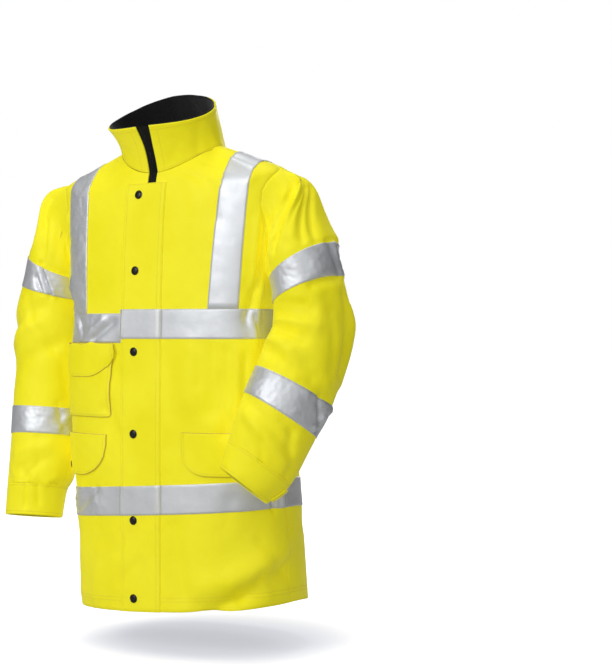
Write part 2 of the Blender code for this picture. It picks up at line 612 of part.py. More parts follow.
def make_collar(yellow, black):
    """The stand collar and its black lining."""
    rise, angle = np.meshgrid(np.linspace(0, 1, COLLAR_CELLS + 1), neck_angles(),
                              indexing="ij")
    start = np.arcsin(collar_half_gap(rise) / NECK_HALF_WIDTH) - angle[0, 0]
    fade = np.clip(1 - np.abs(np.sin(angle / 2)) * 2.2, 0, 1)
    angle = angle + np.sign(np.pi - angle) * start * fade
    outer, inner = collar_layer(angle, rise, 0), collar_layer(angle, rise, -WALL)
    inner[0, :, 2] = outer[0, :, 2]
    wall("collar", *trim(outer, inner, ("first", "last")), yellow)
    outer = collar_layer(angle, rise, -WALL - GAP)
    inner = collar_layer(angle, rise, -WALL - GAP - LINING_WALL)
    outer[0, :, 2] = inner[0, :, 2] = collar(angle, rise)[0, :, 2]
    higher = LINING_RISE * COLLAR_CELLS * (1 - np.cos(angle[-1:].T)) / 2
    outer[-1] += (outer[-1] - outer[-2]) * higher
    inner[-1] += (inner[-1] - inner[-2]) * higher
    wall("collar_lining", *trim(outer, inner, ("first", "last")), black)


def make_zip(panels, black):
    """The two halves of the zip, from the hem to the collar's top."""
    rows = middle_rows(panels)
    rise = np.linspace(0, 1, COLLAR_CELLS + 1)[1:]
    edge = np.concatenate((np.full(len(rows), ZIP_HALF), collar_half_gap(rise))) - GAP
    for side, name in ((1, "zip_left"), (-1, "zip_right")):
        strips = []
        for x in (np.full_like(edge, ZIP_PART_HALF), edge):
            low = body(side * angle_at(x[:len(rows)], rows, "front_square"), rows)
            high = collar(side * np.arcsin(x[len(rows):] / COLLAR_TOP["half_width"]), rise)
            line = np.concatenate((low, high))
            line[:, 0] = side * x
            line[len(low):, 0] += COLLAR_TOP["shift"] * rise
            strips.append(line)
        face = np.stack(strips, 1) + (0, ZIP_RECESS, 0)
        wall(name, face, face + (0, ZIP_THICKNESS, 0), black)


# ------------------------------------------------------------------ sleeves and cuffs
def armhole_place(turn, side):
    """Body angle and height share of the armhole's edge, for angles round the sleeve: armpit,
    front, shoulder tip, back. Even steps of the angle meet the panels' own points. `side` is 1
    for the wearer's left and -1 for the right."""
    turn = turn % (2 * np.pi)
    climb = np.where(turn < np.pi, turn, 2 * np.pi - turn) / np.pi
    share = armhole_share(np.clip(climb, 0, 1))
    angle = np.where(turn < np.pi, armhole_angle(share, "front_square"),
                     np.pi - armhole_angle(share, "back_square"))
    return side * angle, ARMPIT_UP + (TIP_UP - ARMPIT_UP) * share


def ring(table, turn, along):
    """Points of a sleeve's elliptical rings."""
    value = {name: smooth(table, RING_COLUMNS, name, along) for name in RING_COLUMNS[1:]}
    lean, pitch = np.radians(value["lean"]), np.radians(value["pitch"])
    flat = np.zeros_like(lean)
    inner_way = np.stack((-np.cos(lean), flat, -np.sin(lean)), -1)
    front_way = np.stack((flat, -np.cos(pitch), np.sin(pitch)), -1)
    middle = np.stack((value["x"], value["y"], value["z"]), -1)
    across = (np.cos(turn) * value["across"])[..., None]
    deep = (np.sin(turn) * value["deep"])[..., None]
    return middle + inner_way * across + front_way * deep


class Sleeve:
    """A sleeve as a surface of the angle round it and the place along it: the cap counts from
    -CAP_RUN to 0 and the tube on from there."""

    def __init__(self, rings, creases, marks, mirror):
        self.rings, self.creases, self.marks = rings, creases, marks
        self.side = -1 if mirror else 1
        label = "right" if mirror else "left"
        self.top_way, self.pull = TOP_WAY[label], CAP_PULL[label]
        self.end = marks["end"]
        all_round = np.arange(SLEEVE_SIDES) * 2 * np.pi / SLEEVE_SIDES
        self.hole_middle = self.edge(all_round).mean(axis=0)

    def edge(self, turn):
        """The armhole's edge, on the wearer's left."""
        return body(*armhole_place(turn, self.side)) * (self.side, 1, 1)

    def plain(self, turn, place):
        """Without folds: the cap is a cubic from the armhole's edge to the first ring."""
        turn, place = np.broadcast_arrays(turn, place)
        tube = ring(self.rings, turn, np.maximum(place, 0))
        t = np.clip(1 + place / CAP_RUN, 0, 1)[..., None]
        edge = self.edge(turn)
        first = ring(self.rings, turn, np.zeros_like(place))
        lean = np.radians(self.rings[0][4])
        down = np.array((np.sin(lean), 0, -np.cos(lean)))
        share = ((1 - np.cos(turn)) / 2)[..., None]
        inwards = unit(self.hole_middle - edge)
        leave = unit(ARMPIT_WAY * (1 - share) + self.top_way * share
                     + inwards * CAP_TURN_IN * (1 - share ** 2))
        pull = self.pull[0] * (1 - share) + self.pull[1] * share
        pull = pull * np.linalg.norm(first - edge, axis=-1, keepdims=True)
        edge = edge + inwards * ARMHOLE_GAP
        cap = (edge * (1 + 2 * t) * (1 - t) ** 2 + leave * pull * t * (1 - t) ** 2
               + first * t ** 2 * (3 - 2 * t) - down * pull * t ** 2 * (1 - t))
        points = np.where((place < 0)[..., None], cap, tube)
        return points * (self.side, 1, 1)

    def normals(self, surface, turn, place):
        """Outward normals of one of this sleeve's surfaces."""
        return outward(surface, turn, place, -CAP_RUN, self.end, -self.side)

    def cloth(self, turn, place):
        """With folds, which fade out at the armhole."""
        height = fold_height(self.creases, SLEEVE_RADIUS, turn, place)
        fade = np.clip((place + CAP_RUN) / CAP_PLAIN, 0, 1)
        plain = self.plain(turn, place)
        normal = self.normals(self.plain, turn, place)
        return plain + normal * (height * fade)[..., None]

    def layer(self, turn, place, lift):
        """Points moved out by `lift`."""
        return self.cloth(turn, place) + self.normals(self.cloth, turn, place) * lift


def tube(name, sleeve, places, low, high, finish, sides=()):
    """A closed ring of wall round a sleeve."""
    place, turn = np.meshgrid(places, np.arange(SLEEVE_SIDES) * 2 * np.pi / SLEEVE_SIDES,
                              indexing="ij")
    outer, inner = sleeve.layer(turn, place, high), sleeve.layer(turn, place, low)
    if places[0] == -CAP_RUN:
        panel_normal = outward(body, *armhole_place(turn[0], sleeve.side), 0, 1)
        inner[0] = outer[0] + panel_normal * low
    wall(name, *trim(outer, inner, sides), finish, ring=True)


def steps(start, end, cells):
    """Evenly spaced places without the last one."""
    return np.linspace(start, end, cells + 1)[:-1]


def make_sleeve(side, rings, creases, marks, yellow, silver, mirror):
    """A sleeve, its two rings of tape, its cuff and the cuff's tab."""
    sleeve = Sleeve(rings, creases, marks, mirror)
    half_tape = TAPE_WIDTH / 2
    upper, lower = marks["upper_tape"], marks["lower_tape"]
    places = np.concatenate((
        steps(-CAP_RUN, 0, CAP_CELLS), (0,),
        steps(upper - half_tape, upper + half_tape, 2),
        steps(upper + half_tape, lower - half_tape, 7),
        steps(lower - half_tape, lower + half_tape, 2),
        steps(lower + half_tape, marks["cuff"], 3), (marks["cuff"],),
    ))
    tube(f"sleeve_{side}", sleeve, places, -WALL, 0, yellow, ("top",))
    for label in ("upper_tape", "lower_tape"):
        band = marks[label] + np.array((-half_tape, 0, half_tape))
        tube(f"sleeve_{label}_{side}", sleeve, band, TAPE_LIFT,
             TAPE_LIFT + TAPE_THICKNESS, silver)
    cuff = np.linspace(marks["cuff"], marks["end"], CUFF_CELLS + 1)
    tube(f"cuff_{side}", sleeve, cuff, -WALL, 0, yellow, ("bottom",))
    tab_turn = np.radians(np.linspace(CUFF_TAB["from"], CUFF_TAB["to"], 7))
    tab_place = marks["cuff"] + np.array((CUFF_TAB["low"], CUFF_TAB["high"]))
    place, turn = np.meshgrid(tab_place, tab_turn, indexing="ij")
    wall(f"cuff_tab_{side}", sleeve.layer(turn, place, CUFF_TAB["lift"] + FLAP_THICKNESS),
         sleeve.layer(turn, place, CUFF_TAB["lift"]), yellow)


# ------------------------------------------------------------------ pockets
def make_pocket_piece(name, piece, lift, finish):
    """A patch or flap over the front: rounded lower corners, the middle standing off."""
    value = dict(zip(POCKET_COLUMNS, piece))
    from_angle, top, corner = value["from_angle"], value["top"], value["corner"]
    spread = value["to_angle"] - from_angle
    columns, rows = POCKET_CELLS["across"], POCKET_CELLS["down"]
    across = np.linspace(0, 1, columns + 1)
    width = np.radians(spread) * BODY_RADIUS
    near = np.minimum(across, 1 - across) * width
    short = np.clip(1 - near / corner, 0, 1)
    lowest = value["bottom"] + corner * (1 - np.sqrt(1 - short ** 2))
    down, across = np.meshgrid(np.linspace(1, 0, rows + 1), across, indexing="ij")
    angle = np.radians(from_angle + spread * across)
    height = top + (lowest - top) * down
    up = up_at(angle, height)
    swell = value["stand_off"] * np.sqrt(np.clip(4 * across * (1 - across), 0, 1))
    if name.endswith("body"):
        swell = swell * np.sqrt(np.clip(1.5 * (1 - down), 0, 1))
    lift = (lift + swell)[..., None]
    outer = body_layer(angle, up, lift + FLAP_THICKNESS)
    wall(name, outer, body_layer(angle, up, lift), finish)


def make_pockets(yellow, black):
    """The chest pocket with its flap, and the flaps of the two lower pockets."""
    make_pocket_piece("chest_pocket_body", CHEST_POCKET_BODY, POCKET_LIFT, yellow)
    make_pocket_piece("chest_pocket_flap", CHEST_POCKET_FLAP,
                      POCKET_LIFT + FLAP_THICKNESS - GAP, yellow)
    make_pocket_piece("lower_pocket_flap_right", RIGHT_POCKET_FLAP, POCKET_LIFT, yellow)
    make_pocket_piece("lower_pocket_flap_left", LEFT_POCKET_FLAP, POCKET_LIFT, yellow)
    angle, height = np.radians(POCKET_STUD[0]), POCKET_STUD[1]
    lift = POCKET_LIFT + RIGHT_POCKET_FLAP[-1] + FLAP_THICKNESS + GAP
    make_stud("pocket_stud", angle, up_at(angle, height), lift, black)


def main():
    """Clear the scene and make every piece."""
    for old in list(bpy.data.objects):
        bpy.data.objects.remove(old)
    yellow = material("fluorescent_cloth", YELLOW, 0.55)
    silver = material("reflective_tape", SILVER, 0.35, 0.3)
    black = material("black_trim", BLACK, 0.5)
    panels = make_panels(yellow, silver)
    make_storm_flap(panels, yellow, silver, black)
    make_collar(yellow, black)
    make_zip(panels, black)
    make_sleeve("left", LEFT_RINGS, LEFT_SLEEVE_FOLDS, LEFT_MARKS, yellow, silver, False)
    make_sleeve("right", RIGHT_RINGS, RIGHT_SLEEVE_FOLDS, RIGHT_MARKS, yellow, silver, True)
    make_pockets(yellow, black)


main()
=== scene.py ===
"""Hi-vis work jacket, dressed: fluorescent coated cloth, bead tape, black trim, stitching."""
import bpy
import numpy as np
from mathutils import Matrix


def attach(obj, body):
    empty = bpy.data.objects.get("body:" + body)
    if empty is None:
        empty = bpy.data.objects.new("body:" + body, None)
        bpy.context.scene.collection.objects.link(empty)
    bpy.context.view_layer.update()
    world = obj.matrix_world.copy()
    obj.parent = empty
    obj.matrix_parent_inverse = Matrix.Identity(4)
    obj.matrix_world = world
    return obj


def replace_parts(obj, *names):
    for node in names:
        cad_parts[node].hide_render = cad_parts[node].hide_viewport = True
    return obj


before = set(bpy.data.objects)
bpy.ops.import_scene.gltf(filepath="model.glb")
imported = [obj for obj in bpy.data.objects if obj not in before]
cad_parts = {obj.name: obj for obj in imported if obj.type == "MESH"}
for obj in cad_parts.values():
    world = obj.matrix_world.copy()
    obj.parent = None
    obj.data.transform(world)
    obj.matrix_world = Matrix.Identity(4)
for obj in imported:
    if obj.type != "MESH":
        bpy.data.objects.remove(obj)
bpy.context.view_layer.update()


# ==================================================================== studio
# A pale floor just under the hem, glowing evenly white but for a painted shadow under the jacket, a
# white surround that lights softly from the front and from behind, and three lamps: over the
# camera's left shoulder, behind the jacket and overhead.
def lamp(name, place, aim, size, watts):
    """A square area lamp at `place`, turned so that it shines at `aim`."""
    light = bpy.data.lights.new(name, "AREA")
    light.size, light.energy = size, watts
    made = bpy.data.objects.new(name, light)
    bpy.context.scene.collection.objects.link(made)
    made.location = place
    way = np.array(aim) - np.array(place)
    flat = np.hypot(way[0], way[1])
    made.rotation_euler = (np.arctan2(flat, -way[2]), 0, np.arctan2(-way[0], way[1]))


def on_circle(azimuth, distance, height):
    """A point round the jacket: azimuth 0 is in front of it, 90 on the wearer's left."""
    turn = np.radians(azimuth)
    return np.array((np.sin(turn) * distance, -np.cos(turn) * distance, height))


CHEST = np.array((0.0, 0.0, -0.30))
CAMERA_AZIMUTH, CAMERA_DISTANCE = 34, 3.0
LENS_IN_PIXELS, IMAGE_WIDTH, SENSOR = 1714, 612, 36.0
JACKET_COLUMN, IMAGE_COLUMN = 191.4, 306       # where the neck's axis stands, and the centre
JACKET_ROW, IMAGE_ROW = 324, 333

lens = bpy.data.cameras.new("camera")
lens.sensor_fit, lens.sensor_width = "HORIZONTAL", SENSOR
lens.lens = LENS_IN_PIXELS * SENSOR / IMAGE_WIDTH
lens.shift_x = (IMAGE_COLUMN - JACKET_COLUMN) / IMAGE_WIDTH
lens.shift_y = (JACKET_ROW - IMAGE_ROW) / IMAGE_WIDTH
camera = bpy.data.objects.new("camera", lens)
bpy.context.scene.collection.objects.link(camera)
camera.location = on_circle(CAMERA_AZIMUTH, CAMERA_DISTANCE, CHEST[2])
camera.rotation_euler = (np.pi / 2, 0, np.radians(CAMERA_AZIMUTH))
bpy.context.scene.camera = camera

lamp("key lamp", on_circle(-12, 2.8, 0.85), CHEST, size=1.2, watts=25.5)
lamp("back lamp", on_circle(196, 2.8, 0.45), CHEST, size=1.6, watts=40)
lamp("top lamp", (0.1, -0.1, 2.2), (0, 0, -1), size=1.0, watts=12)


class Wire:
    """One socket of a material's nodes. Sums, differences, products and quotients of wires add
    the Math nodes that work them out; `made` adds any other node."""

    def __init__(self, tree, socket=None):
        self.tree = tree
        self.socket = socket

    def made(self, kind, settings=None, inputs=None, output=0):
        """A node of this type with its settings and its sockets' values or wires."""
        node = self.tree.nodes.new(kind)
        for name, value in (settings or {}).items():
            setattr(node, name, value)
        for name, value in (inputs or {}).items():
            if isinstance(value, Wire):
                self.tree.links.new(value.socket, node.inputs[name])
            else:
                node.inputs[name].default_value = value
        return Wire(self.tree, node.outputs[output])

    def math(self, operation, other=0.0):
        """One Math node on this wire and another wire or number."""
        return self.made("ShaderNodeMath", {"operation": operation}, {0: self, 1: other})

    def __add__(self, other):
        return self.math("ADD", other)

    def __sub__(self, other):
        return self.math("SUBTRACT", other)

    def __mul__(self, other):
        return self.math("MULTIPLY", other)

    def __rsub__(self, other):
        return (self * -1) + other

    __radd__, __rmul__ = __add__, __mul__

    def between(self, low, high):
        """0 below `low`, 1 above `high`, a smooth step between them."""
        return self.made("ShaderNodeMapRange", {"interpolation_type": "SMOOTHSTEP"},
                         {"Value": self, "From Min": low, "From Max": high})

    def mix(self, first, second):
        """The first colour where this wire is 0, the second where it is 1."""
        return self.made("ShaderNodeMix", {"data_type": "RGBA"},
                         {"Factor": self, 6: first, 7: second}, output=2)


# The surround is white to look at. As a light it is a wide soft screen in front and a soft
# overhead glow, with little from the sides and behind, so that turned away tape goes dark.
SCREEN_AZIMUTH, SCREEN_UP = 18, -0.22          # its middle: degrees round the front, and lean
SCREEN_EDGES = (76, 34)                        # degrees off its middle: no light, full light
OVERHEAD_EDGES = (0.45, 0.95)                  # the same for the overhead glow, as heights
SCREEN_LIGHT, OVERHEAD_LIGHT, SIDE_LIGHT = 1.00, 0.50, 0.03
surround = bpy.data.worlds.new("surround")
surround.use_nodes = True
sky = surround.node_tree.nodes["Background"]
sky.inputs["Color"].default_value = (1, 1, 1, 1)
start = Wire(surround.node_tree)
seen = start.made("ShaderNodeLightPath")
way = start.made("ShaderNodeTexCoord")
ahead = way.made("ShaderNodeVectorMath", {"operation": "DOT_PRODUCT"},
                 {0: way, 1: tuple(on_circle(SCREEN_AZIMUTH, 1, SCREEN_UP))}, output=1)
height = way.made("ShaderNodeSeparateXYZ", inputs={0: way}, output=2)
edge, full = np.cos(np.radians(SCREEN_EDGES))
glow = (ahead.between(edge, full) * SCREEN_LIGHT + height.between(*OVERHEAD_EDGES) * OVERHEAD_LIGHT
        + SIDE_LIGHT)
surround.node_tree.links.new((seen + (1 - seen) * glow).socket, sky.inputs["Strength"])
bpy.context.scene.world = surround
bpy.context.scene.view_settings.view_transform = "Standard"

FLOOR_UP, FLOOR_REACH = -0.855, 30.0
FLOOR_GREY, FLOOR_ROUGHNESS = (0.5, 0.5, 0.5, 1), 0.9
# The floor's glow is darker in a soft disc under the hem: a painted shadow, full inside the first
# radius and fading to the even white glow at the second.
PAINTED_SHADOW_MIDDLE, PAINTED_SHADOW_EDGES = (0.018, 0.072), (0.15, 0.37)        # under the hem, metres
PAINTED_SHADOW_GLOW, OPEN_GLOW = (0.50, 0.51, 0.57, 1), (1, 1, 1, 1)
corners = np.array(((-1, -1), (1, -1), (1, 1), (-1, 1))) * FLOOR_REACH
floor_mesh = bpy.data.meshes.new("floor")
floor_mesh.from_pydata([(*corner, FLOOR_UP) for corner in corners], [], [(0, 1, 2, 3)])
pale = bpy.data.materials.new("pale floor")
pale.use_nodes = True
pale_shader = pale.node_tree.nodes["Principled BSDF"]
pale_shader.inputs["Base Color"].default_value = FLOOR_GREY
pale_shader.inputs["Roughness"].default_value = FLOOR_ROUGHNESS
pale_shader.inputs["Specular IOR Level"].default_value = 0.0
start = Wire(pale.node_tree)
spot = start.made("ShaderNodeTexCoord", output=3)
distance = spot.made("ShaderNodeVectorMath", {"operation": "DISTANCE"},
                     {0: spot, 1: (*PAINTED_SHADOW_MIDDLE, FLOOR_UP)}, output=1)
# The emission's colour: the painted shadow's grey near the middle, even white further out.
glow = distance.between(*PAINTED_SHADOW_EDGES).mix(PAINTED_SHADOW_GLOW, OPEN_GLOW)
pale.node_tree.links.new(glow.socket, pale_shader.inputs["Emission Color"])
pale.node_tree.links.new(start.made("ShaderNodeLightPath").socket,
                         pale_shader.inputs["Emission Strength"])
floor_mesh.materials.append(pale)
floor = bpy.data.objects.new("floor", floor_mesh)
bpy.context.scene.collection.objects.link(floor)


# ==================================================================== fronts and back
# The shell is three panels of coated polyester cloth, lined with the same, cut from hem to
# shoulder and sewn at the sides and over the shoulders. Worn, it hangs from the shoulders as a
# rounded tube that opens towards the hem, with soft troughs and ridges where it is pulled.
WALL = 0.003               # the shell's cloth with its inside leaf
GAP = 0.0003               # between pieces that are sewn to one another
ZIP_HALF = 0.0085          # from the middle to the fronts' edges
STORM_FREE_X, STORM_SEWN_X = -0.051, 0.0315    # the storm flap's two edges

# Rows from hem to neckline: up, height, half width, where front, widest place and back lie,
# how far front and back hang lower, rise to the wearer's left, fullness of front and back.
SECTION_COLUMNS = ("up", "z", "half_width", "front", "ridge", "back", "front_drop",
                   "back_drop", "tilt", "front_square", "back_square")
SECTIONS = np.array((
    (0.0000, -0.782, 0.203, -0.138, 0.000, 0.187, 0.003, 0.025, 0.065, 2.4, 2.2),
    (0.2067, -0.600, 0.207, -0.139, -0.025, 0.150, 0.000, 0.015, 0.075, 2.5, 2.2),
    (0.3733, -0.450, 0.203, -0.139, -0.050, 0.125, 0.000, 0.010, 0.040, 2.7, 2.3),
    (0.5400, -0.300, 0.189, -0.137, -0.072, 0.100, 0.000, 0.008, 0.000, 2.9, 2.3),
    (0.6367, -0.213, 0.197, -0.134, -0.068, 0.085, 0.000, 0.000, 0.000, 2.9, 2.3),
    (0.7289, -0.130, 0.211, -0.129, -0.060, 0.066, 0.004, 0.000, 0.010, 2.8, 2.3),
    (0.8111, -0.056, 0.222, -0.123, -0.054, 0.048, 0.022, 0.008, 0.020, 2.6, 2.2),
    (0.9050, -0.024, 0.160, -0.119, -0.056, 0.030, 0.032, 0.003, 0.020, 2.3, 2.1),
    (1.0000, 0.000, 0.099, -0.116, -0.058, 0.014, 0.044, -0.006, 0.010, 2.0, 2.0),
))
NECK_HALF_WIDTH = SECTIONS[-1][2]
TAPE_WIDTH = 0.050
HEM_TAPE_UP = 0.2100       # heights of the tapes' middles, as shares from hem to neckline
CHEST_TAPE_UP = 0.540
RIGHT_CHEST_STEP = 0.007   # the wearer's right chest tape sits this much lower
UP_PER_METRE = 1 / 0.9     # share of height per metre, below the shoulders
ARMPIT_UP = 0.6367
TIP_UP = 0.8380            # outer end of the shoulder seam
ARMHOLE_SWING = {"front_square": np.radians(30), "back_square": np.radians(24)}
ARMHOLE_SKEW, ARMHOLE_START = 1.8, 0.35        # how low it swings in most, and how early
ROWS_DRAW_CLOSER = 0.7     # how much the rows gather towards the shoulder seam,
DRAW_FROM, DRAW_OVER = 0.06, 0.04              # on lines that reach it this far from the middle

# The panels' lines of points, as distances from the middle: at the chest and at the shoulder.
# The last three lines of each list are the edges and the middle of the brace tape.
FRONT_LEFT_LINES = ((ZIP_HALF, ZIP_HALF), (STORM_SEWN_X, STORM_SEWN_X), (0.055, 0.055),
                    (0.075, 0.078), (0.086, 0.092), (0.098, NECK_HALF_WIDTH),
                    (0.118, 0.136), (0.143, 0.161), (0.168, 0.186))
FRONT_RIGHT_LINES = ((ZIP_HALF, ZIP_HALF), (0.030, 0.030), (-STORM_FREE_X, -STORM_FREE_X),
                     (0.072, 0.075), (0.090, 0.090), (0.108, NECK_HALF_WIDTH),
                     (0.131, 0.137), (0.156, 0.162), (0.180, 0.187))
BACK_LINES = ((0.0, 0.0), (0.024, 0.024), (0.048, 0.048), (0.070, 0.070), (0.088, 0.088),
              (0.101, NECK_HALF_WIDTH), (0.121, 0.134), (0.146, 0.159), (0.171, 0.184))
BRACE_LINES = 3
EDGE_CELLS = 4             # from the brace tape's outer edge to the side seam

# Cells between the marks from hem to neck: hem, hem tape, chest tape, armpit, top edge.
CELLS_TO_HEM_TAPE = 4
CELLS_IN_TAPE = 2
CELLS_TO_CHEST_TAPE = 6
CELLS_TO_ARMPIT = 1
CELLS_TO_TOP = 11

# Creases: a trough (depth below 0) or ridge from one angle and height to another, as wide and
# as deep as given. The first rows are the big folds, the rest are small ones.
BODY_RADIUS = 0.17
BODY_FOLDS = (
    (28, -0.345, 25, -0.435, 0.018, 0.0050),
    (38, -0.350, 36, -0.440, 0.016, -0.0050),
    (50, -0.350, 47, -0.440, 0.020, 0.0050),
    (30, -0.775, 85, -0.715, 0.020, -0.0070),
    (34, -0.735, 84, -0.680, 0.022, 0.0060),
    (48, -0.660, 80, -0.560, 0.030, -0.0050),
    (-18, -0.335, -19, -0.385, 0.013, -0.0035),
    (-21, -0.440, -21, -0.480, 0.012, -0.0030),
    (74, -0.215, 62, -0.290, 0.014, -0.0060),
    (80, -0.240, 72, -0.330, 0.016, 0.0050),
    (-40, -0.600, -48, -0.760, 0.030, 0.0050),
    (-66, -0.580, -60, -0.740, 0.026, -0.0050),
    (-76, -0.230, -60, -0.310, 0.016, -0.0050),
    (166, -0.320, 160, -0.380, 0.014, -0.0050),
    (158, -0.330, 150, -0.400, 0.018, 0.0050),
    (250, -0.215, 236, -0.290, 0.014, -0.0060),
    (110, -0.215, 124, -0.290, 0.014, -0.0060),
    (244, -0.250, 230, -0.340, 0.018, 0.0050),
    (116, -0.250, 130, -0.340, 0.018, 0.0050),
    (146, -0.735, 205, -0.750, 0.022, -0.0050),
    (160, -0.700, 228, -0.705, 0.024, 0.0045),
    (215, -0.450, 205, -0.590, 0.030, 0.0045),
    (140, -0.440, 150, -0.580, 0.030, -0.0045),
    (196, -0.100, 190, -0.270, 0.030, -0.0030),
)
CREASE_DEPTH = 1.9                 # the creases' depths in the tables are multiplied by this
BODY_CREASES = (
    (28, -0.055, 34, -0.125, 0.009, -0.0012),       # off the wearer's left of the collar
    (20, -0.060, 24, -0.110, 0.010, 0.0010),
    (66, -0.110, 72, -0.205, 0.008, -0.0022),       # beside the left armhole
    (60, -0.130, 66, -0.230, 0.010, 0.0016),
    (58, -0.235, 70, -0.262, 0.008, -0.0018),
    (30, -0.335, 29, -0.400, 0.008, -0.0015),       # hanging from the chest tape
    (41, -0.335, 40, -0.380, 0.007, 0.0012),
    (47, -0.345, 42, -0.480, 0.011, -0.0034),
    (20, -0.345, 22, -0.420, 0.012, 0.0010),
    (12, -0.350, 14, -0.450, 0.014, -0.0008),
    (58, -0.360, 50, -0.480, 0.010, -0.0030),
    (-19, -0.350, -23, -0.372, 0.006, -0.0022),     # pulls beside the studs
    (-24, -0.445, -18, -0.468, 0.007, -0.0016),
    (-12, -0.470, -22, -0.460, 0.006, 0.0010),
    (-8, -0.655, -16, -0.690, 0.010, -0.0014),
    (-2, -0.700, -15, -0.735, 0.009, -0.0012),
    (4, -0.640, 0, -0.700, 0.010, 0.0010),
    (16, -0.640, 20, -0.750, 0.012, -0.0018),
    (28, -0.790, 50, -0.752, 0.0085, -0.0036),      # the long pull at the left of the hem
    (50, -0.752, 62, -0.722, 0.0085, -0.0036),
    (62, -0.722, 84, -0.712, 0.0085, -0.0030),
    (44, -0.782, 66, -0.752, 0.014, 0.0020),
    (46, -0.722, 66, -0.690, 0.020, 0.0028),
    (62, -0.660, 74, -0.700, 0.012, -0.0016),
    (44, -0.590, 40, -0.640, 0.012, -0.0012),
    (-50, -0.655, -58, -0.750, 0.011, -0.0024),
    (-30, -0.690, -34, -0.770, 0.014, 0.0014),
    (72, -0.004, 46, -0.034, 0.008, -0.0020),       # under the collar
    (62, -0.026, 50, -0.066, 0.009, 0.0012),
    (-64, -0.100, -70, -0.170, 0.007, -0.0028),     # crumpled tape on the right shoulder
    (-57, -0.112, -68, -0.150, 0.006, 0.0024),
    (-56, -0.155, -70, -0.200, 0.006, -0.0032),
    (-66, -0.200, -56, -0.244, 0.006, 0.0028),
    (-70, -0.225, -57, -0.272, 0.006, -0.0030),
    (-52, -0.262, -44, -0.300, 0.008, -0.0016),
    (-62, -0.300, -54, -0.330, 0.006, 0.0014),
    (-21, -0.298, -33, -0.326, 0.007, -0.0022),     # the fronts' tapes, beside the flap
    (-27, -0.294, -40, -0.324, 0.006, 0.0020),
    (-47, -0.296, -41, -0.320, 0.006, -0.0020),
    (-58, -0.294, -66, -0.324, 0.007, -0.0026),
    (-30, -0.585, -44, -0.622, 0.007, -0.0018),
    (-40, -0.582, -52, -0.616, 0.006, 0.0018),
    (-56, -0.588, -50, -0.620, 0.007, -0.0020),
    (-66, -0.590, -72, -0.624, 0.008, -0.0016),
    (72, -0.290, 80, -0.328, 0.006, -0.0024),       # and at the other end
    (74, -0.605, 82, -0.548, 0.006, -0.0036),
    (84, -0.600, 90, -0.545, 0.006, 0.0030),
    (163, -0.330, 158, -0.372, 0.007, -0.0022),     # under the back's tape
    (170, -0.325, 172, -0.390, 0.010, 0.0014),
    (196, -0.330, 200, -0.400, 0.012, -0.0014),
    (138, -0.110, 132, -0.190, 0.010, -0.0016),
    (222, -0.110, 228, -0.190, 0.010, -0.0018),
    (120, -0.175, 128, -0.225, 0.008, -0.0020),
    (240, -0.175, 232, -0.225, 0.008, -0.0022),
    (150, -0.765, 176, -0.770, 0.010, -0.0016),
    (186, -0.745, 214, -0.752, 0.012, 0.0016),
    (205, -0.690, 236, -0.700, 0.012, -0.0014),
    (120, -0.640, 140, -0.660, 0.014, -0.0014),
    (250, -0.600, 262, -0.700, 0.016, 0.0018),
)


def smooth(table, columns, name, at):
    """Column `name` of a table at the places `at`: a cubic from row to row whose slopes are
    the harmonic mean of their neighbours' slopes, so that it never overshoots."""
    place = table[:, 0]
    value = table[:, columns.index(name)]
    step = np.diff(place)
    rise = np.diff(value) / step
    product = rise[1:] * rise[:-1]
    total = np.where(product > 0, rise[1:] + rise[:-1], 1)
    inner = np.where(product > 0, 2 * product / total, 0)
    slope = np.concatenate((rise[:1], inner, rise[-1:]))
    at = np.clip(at, place[0], place[-1])
    row = np.clip(np.searchsorted(place, at, side="right") - 1, 0, len(step) - 1)
    width = step[row]
    t = (at - place[row]) / width
    start = value[row] * (1 + 2 * t) + slope[row] * width * t
    end = value[row + 1] * (3 - 2 * t) - slope[row + 1] * width * (1 - t)
    return start * (1 - t) ** 2 + end * t ** 2


def unit(vectors):
    """The same vectors at length 1."""
    return vectors / np.maximum(np.linalg.norm(vectors, axis=-1, keepdims=True), 1e-9)


def outward(surface, angle, place, lowest=0, highest=1, sign=1):
    """Normals of surface(angle, place): the cross product of its two central differences."""
    turn, step = 0.01, 0.004
    across = surface(angle + turn, place) - surface(angle - turn, place)
    above = np.minimum(place + step, highest)
    below = np.maximum(place - step, lowest)
    along = surface(angle, above) - surface(angle, below)
    return unit(np.cross(across, along)) * sign


def fold_height(table, radius, angle, place):
    """Sum over the folds of depth * exp(-(distance to the fold's line / width)^2)."""
    total = np.zeros(np.broadcast(angle, place).shape)
    for from_angle, from_place, to_angle, to_place, width, depth in table:
        middle = np.radians((from_angle + to_angle) / 2)
        if abs(to_angle - from_angle) > 180:
            middle += np.pi
        half = np.radians((to_angle - from_angle + 180) % 360 - 180) * radius / 2
        turned = (angle - middle + np.pi) % (2 * np.pi) - np.pi
        across = turned * radius + half
        length = np.hypot(2 * half, to_place - from_place)
        way = (2 * half / length, (to_place - from_place) / length)
        rise = place - from_place
        share = np.clip(across * way[0] + rise * way[1], 0, length)
        off_squared = (across - share * way[0]) ** 2 + (rise - share * way[1]) ** 2
        total += depth * np.exp(-off_squared / width ** 2)
    return total


def section(name, up):
    """A column of the sections at the height share `up`."""
    return smooth(SECTIONS, SECTION_COLUMNS, name, up)


